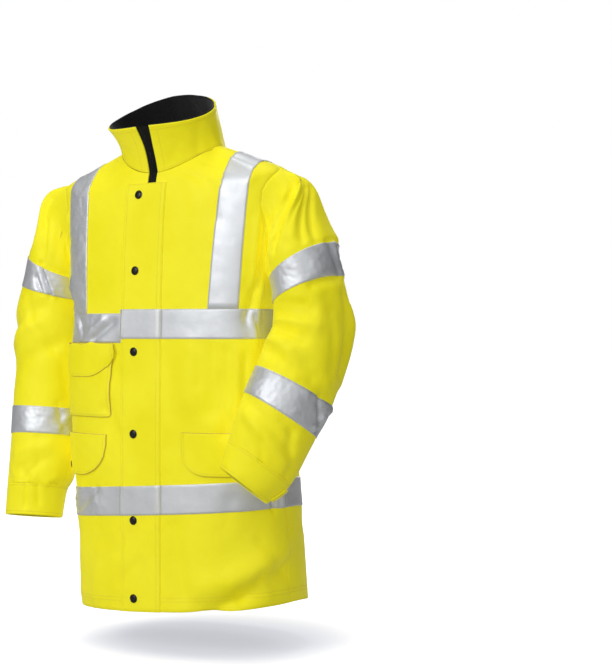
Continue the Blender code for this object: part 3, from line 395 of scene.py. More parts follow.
def plain_body(angle, up):
    """The body's outside without folds: at each height a curve with |sin|^n + |cos|^n = 1."""
    sine, cosine = np.sin(angle), np.cos(angle)
    in_front = cosine > 0
    power = np.where(in_front, section("front_square", up), section("back_square", up))
    reach = (np.abs(sine) ** power + np.abs(cosine) ** power) ** (-1 / power)
    ridge = section("ridge", up)
    depth = np.where(in_front, section("front", up) - ridge, section("back", up) - ridge)
    fullness = np.abs(cosine) * reach
    x = section("half_width", up) * sine * reach
    drop = np.where(in_front, section("front_drop", up), section("back_drop", up))
    z = section("z", up) + section("tilt", up) * x - drop * fullness ** 2
    return np.stack((x, ridge + depth * fullness, z), -1)


def body(angle, up):
    """The body's outside with its folds and creases, which stand along its normals."""
    plain = plain_body(angle, up)
    height = (fold_height(BODY_FOLDS, BODY_RADIUS, angle, plain[..., 2])
              + fold_height(BODY_CREASES, BODY_RADIUS, angle, plain[..., 2]) * CREASE_DEPTH)
    return plain + outward(plain_body, angle, up) * height[..., None]


def body_layer(angle, up, lift):
    """Points of the body moved out by `lift`."""
    return body(angle, up) + outward(body, angle, up) * lift


def angle_at(x, up, half):
    """Angle from the middle at which a section is `x` wide."""
    share = np.clip(x / section("half_width", up), 0, 1)
    power = section(half, up)
    return np.arctan2(share, (1 - share ** power) ** (1 / power))


def up_on_ridge(x):
    """Height share at which the shoulder seam is `x` from the middle; 1 inside the neck."""
    up = np.linspace(TIP_UP, 1, 200)
    return np.interp(-x, -section("half_width", up), up)


def armhole_share(climb):
    """Share of the armhole's height after a share of its rows, which draw closer upwards."""
    return 1 - (1 - climb) ** 2


def armhole_angle(share, half):
    """Angle of the armhole's edge, from the middle, at a share of its height."""
    swing = (np.sin(np.pi * share ** ARMHOLE_SKEW)
             + ARMHOLE_START * np.sqrt(share) * (1 - share) ** 2)
    return np.pi / 2 - ARMHOLE_SWING[half] * swing


def rows_between(marks, cells):
    """Places from mark to mark, with this many even cells between each two."""
    rows = [np.linspace(start, end, count + 1)[:-1]
            for start, end, count in zip(marks, marks[1:], cells)]
    return np.concatenate(rows + [marks[-1:]])


def up_levels(chest_shift=0.0):
    """Height shares of the rows from the hem to the armpit."""
    half_tape = TAPE_WIDTH / 2 * UP_PER_METRE
    chest = CHEST_TAPE_UP - chest_shift * UP_PER_METRE
    marks = (0, HEM_TAPE_UP - half_tape, HEM_TAPE_UP + half_tape, chest - half_tape,
             chest + half_tape, ARMPIT_UP)
    cells = (CELLS_TO_HEM_TAPE, CELLS_IN_TAPE, CELLS_TO_CHEST_TAPE, CELLS_IN_TAPE,
             CELLS_TO_ARMPIT)
    return rows_between(marks, cells)


def half_panel(lines, half, chest_shift=0.0):
    """Angles from the middle and height shares of half a panel's points, row by row from the
    hem. Its lines run up to the neckline or the shoulder seam; its last line is the side seam
    and the armhole."""
    low = up_levels(chest_shift)
    last_line = len(lines) - 1
    climb = np.linspace(0, 1, CELLS_TO_TOP + 1)[1:]
    angles, ups = [], []
    for chest_x, shoulder_x in lines:
        top = up_on_ridge(shoulder_x)
        easing = 1 + ROWS_DRAW_CLOSER * np.clip((shoulder_x - DRAW_FROM) / DRAW_OVER, 0, 1)
        up = np.concatenate((low, ARMPIT_UP + (top - ARMPIT_UP) * (1 - (1 - climb) ** easing)))
        splay = np.clip((up - CHEST_TAPE_UP) / (TIP_UP - CHEST_TAPE_UP), 0, 1)
        x = chest_x + (shoulder_x - chest_x) * splay
        angle = angle_at(x, up, half)
        if shoulder_x >= NECK_HALF_WIDTH:
            angle[-1] = np.pi / 2
        angles.append(angle)
        ups.append(up)
    share = armhole_share(climb)
    edge_up = np.concatenate((low, ARMPIT_UP + (TIP_UP - ARMPIT_UP) * share))
    edge_angle = np.concatenate((np.full(len(low), np.pi / 2), armhole_angle(share, half)))
    for k in range(1, EDGE_CELLS + 1):
        weight = k / EDGE_CELLS
        angles.append(angles[last_line] * (1 - weight) + edge_angle * weight)
        ups.append(ups[last_line] * (1 - weight) + edge_up * weight)
    return np.stack(angles, 1), np.stack(ups, 1)


CHEST_START = CELLS_TO_HEM_TAPE + CELLS_IN_TAPE + CELLS_TO_CHEST_TAPE
TAPE_ROWS = {"hem": slice(CELLS_TO_HEM_TAPE, CELLS_TO_HEM_TAPE + CELLS_IN_TAPE + 1),
             "chest": slice(CHEST_START, CHEST_START + CELLS_IN_TAPE + 1)}
BRACE_ROWS = slice(CHEST_START + CELLS_IN_TAPE, None)
FINE = 6                           # steps of the drawn cloth for each cell of these rows


def finer(grid, down=FINE, across=FINE):
    """A grid with `down` and `across` steps for each one it had, straight in between."""
    rows, columns = grid.shape
    new_rows = np.linspace(0, rows - 1, (rows - 1) * down + 1)
    new_columns = np.linspace(0, columns - 1, (columns - 1) * across + 1)
    low = np.minimum(new_rows.astype(int), rows - 2)
    share = (new_rows - low)[:, None]
    tall = grid[low] * (1 - share) + grid[low + 1] * share
    left = np.minimum(new_columns.astype(int), columns - 2)
    share = new_columns - left
    return tall[:, left] * (1 - share) + tall[:, left + 1] * share


BORDERS = {"bottom": (np.s_[0, :], np.s_[1, :]), "top": (np.s_[-1, :], np.s_[-2, :]),
           "first": (np.s_[:, 0], np.s_[:, 1]), "last": (np.s_[:, -1], np.s_[:, -2])}
ROUNDING, SEWN_ROUNDING, MOST_OF_CELL = 0.35, 0.06, 0.4
SHARP_ABOVE = np.radians(80)


def pull_back(outer, inner, sides):
    """Both grids with the named borders moved inwards by half of the gap along a seam."""
    outer, inner = outer.copy(), inner.copy()
    for side in sides:
        edge, next_to = BORDERS[side]
        shift = unit(outer[next_to] - outer[edge]) * (GAP / 2)
        outer[edge] += shift
        inner[edge] += shift
    return outer, inner


def drawn_in(grid, thickness, sides, sewn):
    """A grid whose borders stop short by a share of the wall's thickness, or of their cells
    where those are smaller, which leaves room for a rounded edge; less along a seam."""
    grid = grid.copy()
    for side in sides:
        edge, next_to = BORDERS[side]
        way = grid[next_to] - grid[edge]
        cell = np.linalg.norm(way, axis=-1, keepdims=True)
        rounding = SEWN_ROUNDING if side in sewn else ROUNDING
        grid[edge] += way / cell * np.minimum(thickness[edge] * rounding, cell * MOST_OF_CELL)
    return grid


def piece(name, points, faces, finishes, smooth=True):
    """A finished piece of the jacket, carried by the root body."""
    mesh = bpy.data.meshes.new(name)
    mesh.from_pydata(points.tolist(), [], faces)
    for finish in finishes:
        mesh.materials.append(finish)
    if smooth:
        mesh.shade_smooth()
    made = bpy.data.objects.new(name, mesh)
    bpy.context.scene.collection.objects.link(made)
    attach(made, "root")
    return made


def cut(grid):
    """Works out the cross product of each cell's two diagonals over the grid, and keeps nothing."""
    slant = np.cross(grid[1:, 1:] - grid[:-1, :-1], grid[1:, :-1] - grid[:-1, 1:])


def cloth(name, outer, inner, finishes, slot, held, under=(), pulled=(), sewn=(), ring=False,
          straight=slice(None)):
    """A closed wall of cloth in place of the solid of its name, between two grids: quads
    outside, the same turned round inside, and a rounded edge over the middle line of each
    border. Its UV map is in metres along the rows and columns. The second finish is for the
    inside and the third for the edges. Borders that are `pulled` stop short of their seam, and
    those that are `sewn` are less rounded."""
    whole = np.hstack((outer, outer[:, :1])) if ring else outer
    outer, inner = pull_back(outer, inner, pulled)
    rows, columns = outer.shape[:2]
    number = np.arange(rows * columns).reshape(rows, columns)
    step_across = np.linalg.norm(np.diff(outer, axis=1), axis=-1).mean(axis=0)
    step_down = np.linalg.norm(np.diff(outer, axis=0), axis=-1).mean(axis=1)
    u = np.concatenate(([0], np.cumsum(step_across)))
    v = np.concatenate(([0], np.cumsum(step_down)))
    if ring:
        number = np.hstack((number, number[:, :1]))
        u = np.append(u, u[-1] + np.linalg.norm(outer[:, 0] - outer[:, -1], axis=-1).mean())
    place = np.stack(np.broadcast_arrays(u, v[:, None]), -1)

    def quads(grid):
        """The four corners of every cell."""
        corners = (grid[:-1, :-1], grid[:-1, 1:], grid[1:, 1:], grid[1:, :-1])
        return np.stack(corners, 2).reshape(-1, 4, *grid.shape[2:])

    def rims(grid):
        """Closed lines of the borders: one round a sheet, two on a ring."""
        if ring:
            return grid[0], grid[-1, ::-1]
        return (np.concatenate((grid[0], grid[1:, -1], grid[-1, -2::-1], grid[-2::-1, 0])),)

    face, face_place = quads(number), quads(place)
    inside, edge = rows * columns, 2 * rows * columns
    middle = ((outer + inner) / 2).reshape(-1, 3)
    thickness = np.linalg.norm(outer - inner, axis=-1, keepdims=True)
    sides = ("bottom", "top") if ring else tuple(BORDERS)
    points = [drawn_in(grid, thickness, sides, sewn).reshape(-1, 3) for grid in (outer, inner)]
    faces, places = [face, face[:, ::-1] + inside], [face_place, face_place[:, ::-1]]
    for line, spot in zip(rims(number), rims(place)):
        top = edge + np.append(np.arange(len(line) - 1), 0)
        points.append(middle[line[:-1]])
        edge += len(line) - 1
        for low, high in ((line, top), (top, line + inside)):
            faces.append(np.stack((low[1:], low[:-1], high[:-1], high[1:]), -1))
            places.append(np.stack((spot[1:], spot[:-1], spot[:-1], spot[1:]), 1))
    faces, places, points = (np.concatenate(what) for what in (faces, places, points))
    corner = points[faces]
    diagonals = np.cross(corner[:, 2] - corner[:, 0], corner[:, 3] - corner[:, 1])
    if (diagonals * corner.mean(axis=1)).sum() < 0:
        faces, places = faces[:, ::-1], places[:, ::-1]
    made = piece(name, points, faces.tolist(), finishes)
    made.data.uv_layers.new(name="cloth").data.foreach_set("uv", places.reshape(-1))
    side = np.zeros(len(faces), dtype=np.int32)
    side[len(face):2 * len(face)] = min(1, len(finishes) - 1)
    side[2 * len(face):] = 2 if len(finishes) > 2 else 0
    made.data.polygons.foreach_set("material_index", side)
    made.data.set_sharp_from_angle(angle=SHARP_ABOVE)
    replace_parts(made, name)
    cut(whole)
    return made


class Finish:
    """A material: constant values on its shader's own sockets, wires for what varies."""

    def __init__(self, name, constants):
        self.material = bpy.data.materials.new(name)
        self.material.use_nodes = True
        self.tree = self.material.node_tree
        self.shader = self.tree.nodes["Principled BSDF"]
        for socket, value in constants.items():
            self.shader.inputs[socket].default_value = value
        start = Wire(self.tree)
        self.place = start.made("ShaderNodeTexCoord", output=3)
        self.laid = start.made("ShaderNodeUVMap", {"uv_map": "cloth"})
        self.across = self.laid.made("ShaderNodeSeparateXYZ", inputs={0: self.laid})
        self.along = self.laid.made("ShaderNodeSeparateXYZ", inputs={0: self.laid}, output=1)

    def feed(self, socket, wire):
        """Joins a wire to one of the shader's sockets."""
        self.tree.links.new(wire.socket, self.shader.inputs[socket])

    def noise(self, scale, detail=2.0):
        """Blender's noise with this many blobs a metre, 0 to 1."""
        return self.place.made("ShaderNodeTexNoise", inputs={"Vector": self.place,
                                                             "Scale": scale, "Detail": detail})

    def threads(self, pitch):
        """A plain weave: sin(across) * sin(along), one thread every `pitch` metres, 0 to 1."""
        turn = np.pi / pitch
        waves = (self.across * turn).math("SINE") * (self.along * turn).math("SINE")
        return waves * 0.5 + 0.5

    def raise_by(self, layers):
        """Bumps over one another: pairs of a height from 0 to 1 and its depth in metres."""
        below = None
        for height, depth in layers:
            inputs = {"Height": height, "Distance": depth, "Strength": 1.0}
            if below is not None:
                inputs["Normal"] = below
            below = height.made("ShaderNodeBump", inputs=inputs)
        self.feed("Normal", below)


FLUORESCENT = (0.91, 0.83, 0.022, 1.0)
FLUORESCENT_DEEP = (0.83, 0.76, 0.006, 1.0)
COATED_BACK, COATED_BACK_DEEP = (0.70, 0.66, 0.10, 1.0), (0.60, 0.56, 0.07, 1.0)
# The yellow cloth's constant emission: painted light that lightens its shade, in place of
# fluorescence.
CLOTH_PAINTED_GLOW = 0.20
THREAD_PITCH = 0.0007


def coated_cloth(name, colour, deep, glow):
    """Coated oxford cloth: a fine weave, small crumples and slightly uneven dye. It also glows by a
    constant
    `glow` in its own colour: painted light that lifts its shade everywhere, standing in for
    fluorescent dye."""
    finish = Finish(name, {"Sheen Weight": 0.06, "Sheen Roughness": 0.4,
                           "Specular IOR Level": 0.18, "Emission Strength": glow,
                           "Emission Color": colour})
    patches = finish.noise(9, 3)
    finish.feed("Base Color", patches.between(0.3, 0.75).mix(colour, deep))
    finish.feed("Roughness", finish.noise(40) * 0.16 + 0.44)
    finish.raise_by(((finish.noise(16, 2), 0.0030), (finish.noise(55, 3), 0.0007),
                     (finish.threads(THREAD_PITCH), 0.00004)))
    return finish.material


yellow_cloth = coated_cloth("fluorescent cloth", FLUORESCENT, FLUORESCENT_DEEP, CLOTH_PAINTED_GLOW)
cloth_back = coated_cloth("cloth's coated back", COATED_BACK, COATED_BACK_DEEP, glow=0.0)
shell = (yellow_cloth, cloth_back)


def panel(name, angle, up):
    """One panel of the shell with its lined back, sewn to its neighbours all round."""
    angle, up = finer(angle), finer(up)
    seams = ("first", "last", "top")
    return cloth(name, body_layer(angle, up, 0), body_layer(angle, up, -WALL), shell,
                 "fluorescent_cloth", "hung", pulled=seams, sewn=seams)


left_angle, left_up = half_panel(FRONT_LEFT_LINES, "front_square")
right_angle, right_up = half_panel(FRONT_RIGHT_LINES, "front_square", RIGHT_CHEST_STEP)
right_angle, right_up = -right_angle[:, ::-1], right_up[:, ::-1]
half_angle, half_up = half_panel(BACK_LINES, "back_square")
back_angle = np.hstack((np.pi - half_angle[:, ::-1], np.pi + half_angle[:, 1:]))
back_up = np.hstack((half_up[:, ::-1], half_up[:, 1:]))

grids = {"front_left": (left_angle, left_up), "front_right": (right_angle, right_up),
         "back": (back_angle, back_up)}
panels = {name: panel(name, *grid) for name, grid in grids.items()}


# The shell's stitching: the hem is turned up and sewn twice, and the sides are topstitched
# beside the seam, with polyester thread dyed with the cloth.
STITCH_LENGTH, STITCH_GAP, THREAD_RADIUS = 0.0030, 0.0008, 0.00030
LINE_POINTS = 12                   # of a stitched line, for each row of its panel
YELLOW_THREAD_COLOUR = (0.78, 0.69, 0.02, 1.0)


def thread(name, colour):
    """Dyed polyester thread: a fine mottle between the colour and a darker one."""
    finish = Finish(name, {"Sheen Weight": 0.3})
    finish.feed("Base Color", finish.noise(900).mix(colour, tuple(0.8 * c for c in colour)))
    finish.feed("Roughness", finish.noise(700) * 0.2 + 0.5)
    return finish.material


yellow_thread = thread("yellow thread", YELLOW_THREAD_COLOUR)


def lengths_along(points):
    """Distance of each point of a line from its first, along the line."""
    return np.concatenate(([0], np.cumsum(np.linalg.norm(np.diff(points, axis=0), axis=-1))))


def at_lengths(place, length, values):
    """What `values` are at other lengths along their line, straight in between."""
    return np.stack([np.interp(place, length, values[:, k]) for k in range(3)], -1)


def stitches(name, lines, finish=yellow_thread):
    """Rows of sewn stitches along lines of points with normals. Each stitch is a spindle: at
    the shares 0.15, 0.5 and 0.85 of its length a ring of four points, and a tip at each end."""
    starts, ways, ups = [], [], []
    for points, normals in lines:
        length = lengths_along(points)
        first = np.arange(0, length[-1] - STITCH_LENGTH, STITCH_LENGTH + STITCH_GAP)
        starts.append(at_lengths(first, length, points))
        ways.append(at_lengths(first + STITCH_LENGTH, length, points) - starts[-1])
        ups.append(at_lengths(first + STITCH_LENGTH / 2, length, normals))
    start, way, up = (np.concatenate(what) for what in (starts, ways, ups))
    side = unit(np.cross(unit(way), up))
    ring = np.arange(4)
    turn = ring * np.pi / 2
    share = np.array((0.15, 0.5, 0.85))
    width = THREAD_RADIUS * np.array((0.8, 1.0, 0.8))
    spoke = (np.cos(turn)[:, None] * side[:, None] + np.sin(turn)[:, None] * up[:, None])
    rings = ((start[:, None] + way[:, None] * share[:, None])[:, :, None]
             + spoke[:, None] * width[:, None, None])
    rings = rings.reshape(len(start), -1, 3)
    points = np.concatenate((rings, start[:, None], (start + way)[:, None]), axis=1)
    after = np.roll(ring, -1)
    second, third, first_tip, last_tip = 4, 8, 12, 13       # numbers of a stitch's points
    walls = np.concatenate([np.stack((low + ring, low + after, low + second + after,
                                      low + second + ring), -1) for low in (0, second)])
    tips = np.concatenate((np.stack((after, ring, np.full(4, first_tip)), -1),
                           np.stack((third + ring, third + after, np.full(4, last_tip)), -1)))
    offset = np.arange(len(start))[:, None, None] * (last_tip + 1)
    faces = (walls + offset).reshape(-1, 4).tolist() + (tips + offset).reshape(-1, 3).tolist()
    piece(name, points.reshape(-1, 3), faces, (finish,))


def body_line(angle, up, lift):
    """A line of points on the body with its normals, for stitching."""
    angle, up = np.broadcast_arrays(angle, up)
    return body_layer(angle, up, lift + THREAD_RADIUS / 3), outward(body, angle, up)


def side_line(angle, up, rows, column):
    """A line along a panel's column, which may lie between two of its points."""
    low = int(np.floor(column))
    share = column - low
    high = min(low + 1, angle.shape[1] - 1)
    angles = angle[rows, low] * (1 - share) + angle[rows, high] * share
    ups = up[rows, low] * (1 - share) + up[rows, high] * share
    place = np.linspace(0, len(angles) - 1, LINE_POINTS * len(angles))
    return (np.interp(place, np.arange(len(angles)), angles),
            np.interp(place, np.arange(len(ups)), ups))


HEM_STITCHES = (0.018, 0.024)      # above the hem's edge, in metres of height
ZIP_TURN = 0.06                    # angle from the middle that the hem's stitching leaves free
SIDE_STITCH_IN = 0.12              # columns in from the side seam
all_round = np.linspace(-np.pi, np.pi, 900)
all_round = all_round[np.abs(all_round) > ZIP_TURN]
shell_lines = [body_line(all_round, height * UP_PER_METRE, 0) for height in HEM_STITCHES]
for angle, up in ((left_angle, left_up), (right_angle[:, ::-1], right_up[:, ::-1])):
    column = angle.shape[1] - 1 - SIDE_STITCH_IN
    line = side_line(angle, up, slice(0, TAPE_ROWS["chest"].stop), column)
    shell_lines.append(body_line(*line, 0))
stitches("shell_stitching", shell_lines)


# ==================================================================== reflective tape
# Fifty-millimetre tape of glass beads on grey cloth, sewn along both edges: one band round the
# hem, one round the chest and a brace over each shoulder, in stretches that stop at the seams.
TAPE_LIFT, TAPE_THICKNESS = 0.0004, 0.0010
TAPE_TOP = TAPE_LIFT + TAPE_THICKNESS
BEAD_GREY, BEAD_DEEP = (0.77, 0.79, 0.82, 1.0), (0.71, 0.73, 0.76, 1.0)
GREY_THREAD_COLOUR = (0.55, 0.56, 0.58, 1.0)
TAPE_STITCH_IN = 0.08               # of the half width, from the edge
SLACK_RIGHT, SLACK_LEFT = (0.06, 0.12), (0.17, 0.23)        # metres from the middle
SLACK_NOISE, SLACK_BUMP = (30, 2.0), 0.0055
BEADS_PER_METRE = 2200.0


def bead_tape():
    """Silver tape: glass beads as a fine grain over a satin metal ground, with soft dents, and
    deeper ones where the cloth under it is slack: at the sides and sleeves."""
    finish = Finish("reflective bead tape", {"Metallic": 0.66})
    sideways = finish.place.made("ShaderNodeSeparateXYZ", inputs={0: finish.place})
    slack = (sideways * -1).between(*SLACK_RIGHT) + sideways.between(*SLACK_LEFT)
    finish.feed("Base Color", finish.noise(30, 4).between(0.35, 0.8).mix(BEAD_GREY, BEAD_DEEP))
    finish.feed("Roughness", finish.noise(60, 3) * 0.10 + 0.48)
    beads = finish.laid.made("ShaderNodeTexVoronoi", inputs={"Vector": finish.laid,
                                                             "Scale": BEADS_PER_METRE})
    finish.raise_by(((finish.noise(26, 3), 0.0013),
                     (finish.noise(*SLACK_NOISE) * slack, SLACK_BUMP), (beads, 0.00003)))
    return finish.material


silver_tape = bead_tape()
grey_thread = thread("grey thread", GREY_THREAD_COLOUR)
tape_lines = []


def tape(name, on, rows, columns, pulled=("first", "last")):
    """A stretch of tape over the given rows and columns of a panel, with its two stitch lines."""
    angle, up = (finer(grid[rows, columns]) for grid in grids[on])
    cloth(name, body_layer(angle, up, TAPE_TOP), body_layer(angle, up, TAPE_LIFT),
          (silver_tape,), "reflective_tape", "laid", (panels[on],), pulled)
    if angle.shape[0] > angle.shape[1]:
        angle, up = angle.T, up.T
    near = TAPE_STITCH_IN * (len(angle) - 1) / 2
    for row in (near, len(angle) - 1 - near):
        line = side_line(angle.T, up.T, slice(None), row)
        tape_lines.append(body_line(*line, TAPE_TOP))


# Columns of the panels at which the right front's tapes end under the storm flap's free edge,
# and at which a brace of the back begins.
free_column = len(FRONT_RIGHT_LINES) - 3 + EDGE_CELLS
back_brace = back_angle.shape[1] - EDGE_CELLS - BRACE_LINES
for label, rows in TAPE_ROWS.items():
    tape(f"{label}_tape_front_left", "front_left", rows, slice(1, None))
    tape(f"{label}_tape_front_right", "front_right", rows, slice(0, free_column + 1))
    tape(f"{label}_tape_back", "back", rows, slice(None))
for label, on, first in (("front_left", "front_left", len(FRONT_LEFT_LINES) - BRACE_LINES),
                         ("front_right", "front_right", EDGE_CELLS),
                         ("back_left", "back", EDGE_CELLS), ("back_right", "back", back_brace)):
    tape(f"brace_{label}", on, BRACE_ROWS, slice(first, first + BRACE_LINES), ("bottom", "top"))


# ==================================================================== zip
# A coarse moulded zip from the hem to the collar's top: black woven tape with a row of plastic
# teeth on each half, closed all the way.
ZIP_RECESS, ZIP_THICKNESS, ZIP_PART_HALF = 0.0006, 0.0018, GAP / 2
COLLAR_TOP = {"half_width": 0.105, "shift": 0.005, "front": -0.157, "ridge": -0.099, "back": -0.039,
              "front_z": 0.030, "rise": 0.065, "power": 1.6, "tilt": 0.004}
COLLAR_SWELL, COLLAR_HOLLOW = 0.005, 0.9         # swell behind, and its share turned inwards
COLLAR_OPEN_TOP, COLLAR_OPENS_FROM = 0.0128, 0.55
ZIP_COLUMNS, ZIP_COLLAR_ROWS = 7, 40
TOOTH_PITCH, TOOTH_REACH, TOOTH_HEIGHT, TOOTH_STAND = 0.0030, 0.0021, 0.0016, 0.0007
TOOTH_SINK, LOOK_AHEAD = 0.0001, 0.002           # into the tape; to find the zip's direction
RIB_PITCH, ZIP_THREAD_PITCH = 0.0008, 0.0005


def collar(angle, rise):
    """The collar's outside: a straight line from the neckline to its top ring, with a swell of
    4 * rise * (1 - rise) that is full behind and hollow in front and at the sides."""
    base = body(angle, np.ones_like(angle))
    top = COLLAR_TOP
    edge = np.where(np.cos(angle) > 0, top["front"], top["back"])
    back_share = (1 - np.cos(angle)) / 2
    high = np.stack((
        top["half_width"] * np.sin(angle) + top["shift"],
        top["ridge"] + (edge - top["ridge"]) * np.abs(np.cos(angle)),
        top["front_z"] + top["rise"] * back_share ** top["power"] + top["tilt"] * np.sin(angle),
    ), -1)
    away = np.stack((np.sin(angle), -np.cos(angle), np.zeros_like(angle)), -1)
    rise = np.asarray(rise)[..., None]
    behind = np.clip(2 * back_share - 1, 0, 1)[..., None]
    fullness = (1 + COLLAR_HOLLOW) * behind - COLLAR_HOLLOW
    swell = COLLAR_SWELL * 4 * rise * (1 - rise) * fullness
    return base * (1 - rise) + high * rise + away * swell + (0, 0, GAP)


def collar_half_gap(rise):
    """Half of the opening between the collar's front edges."""
    share = np.clip((rise - COLLAR_OPENS_FROM) / (1 - COLLAR_OPENS_FROM), 0, 1)
    return ZIP_HALF + (COLLAR_OPEN_TOP - ZIP_HALF) * share


def black_weave():
    """Black zip tape: ribs along it over a fine weave."""
    finish = Finish("black zip tape", {"Specular IOR Level": 0.2,
                                       "Base Color": (0.006, 0.006, 0.007, 1)})
    ribs = (finish.across * (2 * np.pi / RIB_PITCH)).math("SINE") * 0.5 + 0.5
    finish.feed("Roughness", finish.noise(300) * 0.15 + 0.62)
    finish.raise_by(((ribs, 0.00012), (finish.threads(ZIP_THREAD_PITCH), 0.00005)))
    return finish.material


def moulded_black(name, roughness, grain):
    """Moulded black plastic with a faint grain."""
    finish = Finish(name, {"Base Color": (0.007, 0.007, 0.008, 1), "Specular IOR Level": 0.4})
    finish.feed("Roughness", finish.noise(500) * 0.08 + roughness)
    finish.raise_by(((finish.noise(900), grain),))
    return finish.material


zip_weave = black_weave()
tooth_plastic = moulded_black("zip teeth plastic", roughness=0.30, grain=0.00002)
zip_rows = finer(left_up[:, :1].repeat(2, 1), across=1)[:, 0]
zip_rise = np.linspace(0, 1, ZIP_COLLAR_ROWS)[1:]
zip_edge = np.concatenate((np.full(len(zip_rows), ZIP_HALF), collar_half_gap(zip_rise))) - GAP


def front_angle(x, up):
    """Angle of a point `x` from the middle of the front, on the side that its sign says."""
    return np.sign(x) * angle_at(np.abs(x), up, "front_square")


def zip_line(side, x):
    """Points up the front, `x` from its middle, first on the body and then on the collar."""
    low = body(front_angle(side * x[:len(zip_rows)], zip_rows), zip_rows)
    high = collar(side * np.arcsin(x[len(zip_rows):] / COLLAR_TOP["half_width"]), zip_rise)
    line = np.concatenate((low, high))
    line[:, 0] = side * x
    line[len(low):, 0] += COLLAR_TOP["shift"] * zip_rise
    return line


def teeth(name, side):
    """A row of teeth: boxes with sloping shoulders, each half a pitch from the other half's."""
    line = zip_line(side, np.full(len(zip_edge), ZIP_PART_HALF))
    line += (0, ZIP_RECESS - TOOTH_SINK, 0)
    length = lengths_along(line)
    first = TOOTH_PITCH * (0.25 if side > 0 else 0.75)
    spot = np.arange(first, length[-1] - TOOTH_PITCH, TOOTH_PITCH)
    middle = at_lengths(spot, length, line)
    way = unit(at_lengths(spot + LOOK_AHEAD, length, line) - middle)
    sideways = np.array((1.0, 0.0, 0.0))
    out = unit(np.cross(sideways, way))
    out = out * np.sign(-out[:, 1:2])
    reach = np.array((0, 1, 1, 0, 0, 0.7, 0.7, 0)) * TOOTH_REACH * side
    tall = np.array((-1, -1, 1, 1, -0.8, -0.6, 0.6, 0.8)) * TOOTH_HEIGHT / 2
    stand = np.array((0, 0, 0, 0, 1, 1, 1, 1)) * TOOTH_STAND
    points = (middle[:, None] + reach[:, None] * sideways
              + way[:, None] * tall[:, None] + out[:, None] * stand[:, None])
    box = np.array(((0, 3, 2, 1), (4, 5, 6, 7), (0, 1, 5, 4), (1, 2, 6, 5), (2, 3, 7, 6),
                    (3, 0, 4, 7)))
    if side < 0:
        box = box[:, ::-1]
    faces = box + np.arange(len(spot))[:, None, None] * 8
    piece(name, points.reshape(-1, 3), faces.reshape(-1, 4).tolist(),
          (tooth_plastic,), smooth=False)


for side, name in ((1, "zip_left"), (-1, "zip_right")):
    middle = zip_line(side, np.full_like(zip_edge, ZIP_PART_HALF))
    outer_edge = zip_line(side, zip_edge)
    share = np.linspace(0, 1, ZIP_COLUMNS)[:, None]
    face = middle[:, None] * (1 - share) + outer_edge[:, None] * share + (0, ZIP_RECESS, 0)
    cloth(name, face, face + (0, ZIP_THICKNESS, 0), (zip_weave,), "zip_tape", "hung")
    teeth(f"{name}_teeth", side)


# ==================================================================== storm flap
# A strip of doubled cloth over the zip: sewn to the wearer's left front with two rows, free
# along its other edge, which lifts a little between the studs, and taped where the fronts are.
FLAP_LIFT, FLAP_THICKNESS = 0.0005, 0.0022
FLAP_TOP = FLAP_LIFT + FLAP_THICKNESS
STORM_TOP_ROW, STORM_TOP_SHARE = 4, 0.2     # rows of the fronts above its top, and where
SEWN_FADE, SEWN_SHARE = 0.007, 0.3          # the flap thins to this share over its sewn edge
CURL, CURL_START, CURL_WAVES = 0.0014, 0.030, 41.0
CURL_MEAN, CURL_SWING = 0.55, 0.45
FLAP_STITCHES = (STORM_FREE_X + 0.006, STORM_SEWN_X - 0.002, STORM_SEWN_X - 0.0085)
FLAP_STITCH_LOW, FLAP_STITCH_HIGH = 0.004, 0.006    # shares of height that they stop short
FLAP_TAPE_END = 0.001              # and the tape's own stitching, in metres

flap_rows = left_up[:, 0]
below, above = flap_rows[-STORM_TOP_ROW - 1], flap_rows[-STORM_TOP_ROW]
flap_rows = np.append(flap_rows[:-STORM_TOP_ROW], below + (above - below) * STORM_TOP_SHARE)
flap_columns = np.array((STORM_FREE_X, -0.030, -ZIP_HALF, 0.0, ZIP_HALF, STORM_SEWN_X))


def flap_layer(x, up, lift):
    """The flap's surface: the body moved out by `lift`, less at the sewn edge, and by the free
    edge's curl, which is CURL * share^2 with a wave of the height."""
    sewn = np.clip((x - STORM_SEWN_X) / SEWN_FADE + 1, 0, 1)
    lift = lift * (1 - sewn * (1 - SEWN_SHARE))
    share = np.clip((-x - CURL_START) / (-STORM_FREE_X - CURL_START), 0, 1)
    curl = CURL * share ** 2 * (CURL_MEAN + CURL_SWING * np.sin(up * CURL_WAVES))
    return body_layer(front_angle(x, up), up, (lift + curl)[..., None])


def flap_line(x, up, lift):
    """A line of points on the flap with its normals, for stitching."""
    return flap_layer(x, up, lift), outward(body, front_angle(x, up), up)


def flap_piece(name, rows, low, thickness, finishes, slot, under):
    """A stretch of the flap, or of the tape on it, over the given rows."""
    up, x = (finer(grid) for grid in np.meshgrid(flap_rows[rows], flap_columns, indexing="ij"))
    return cloth(name, flap_layer(x, up, low + thickness), flap_layer(x, up, low), finishes,
                 slot, "laid", (under,))


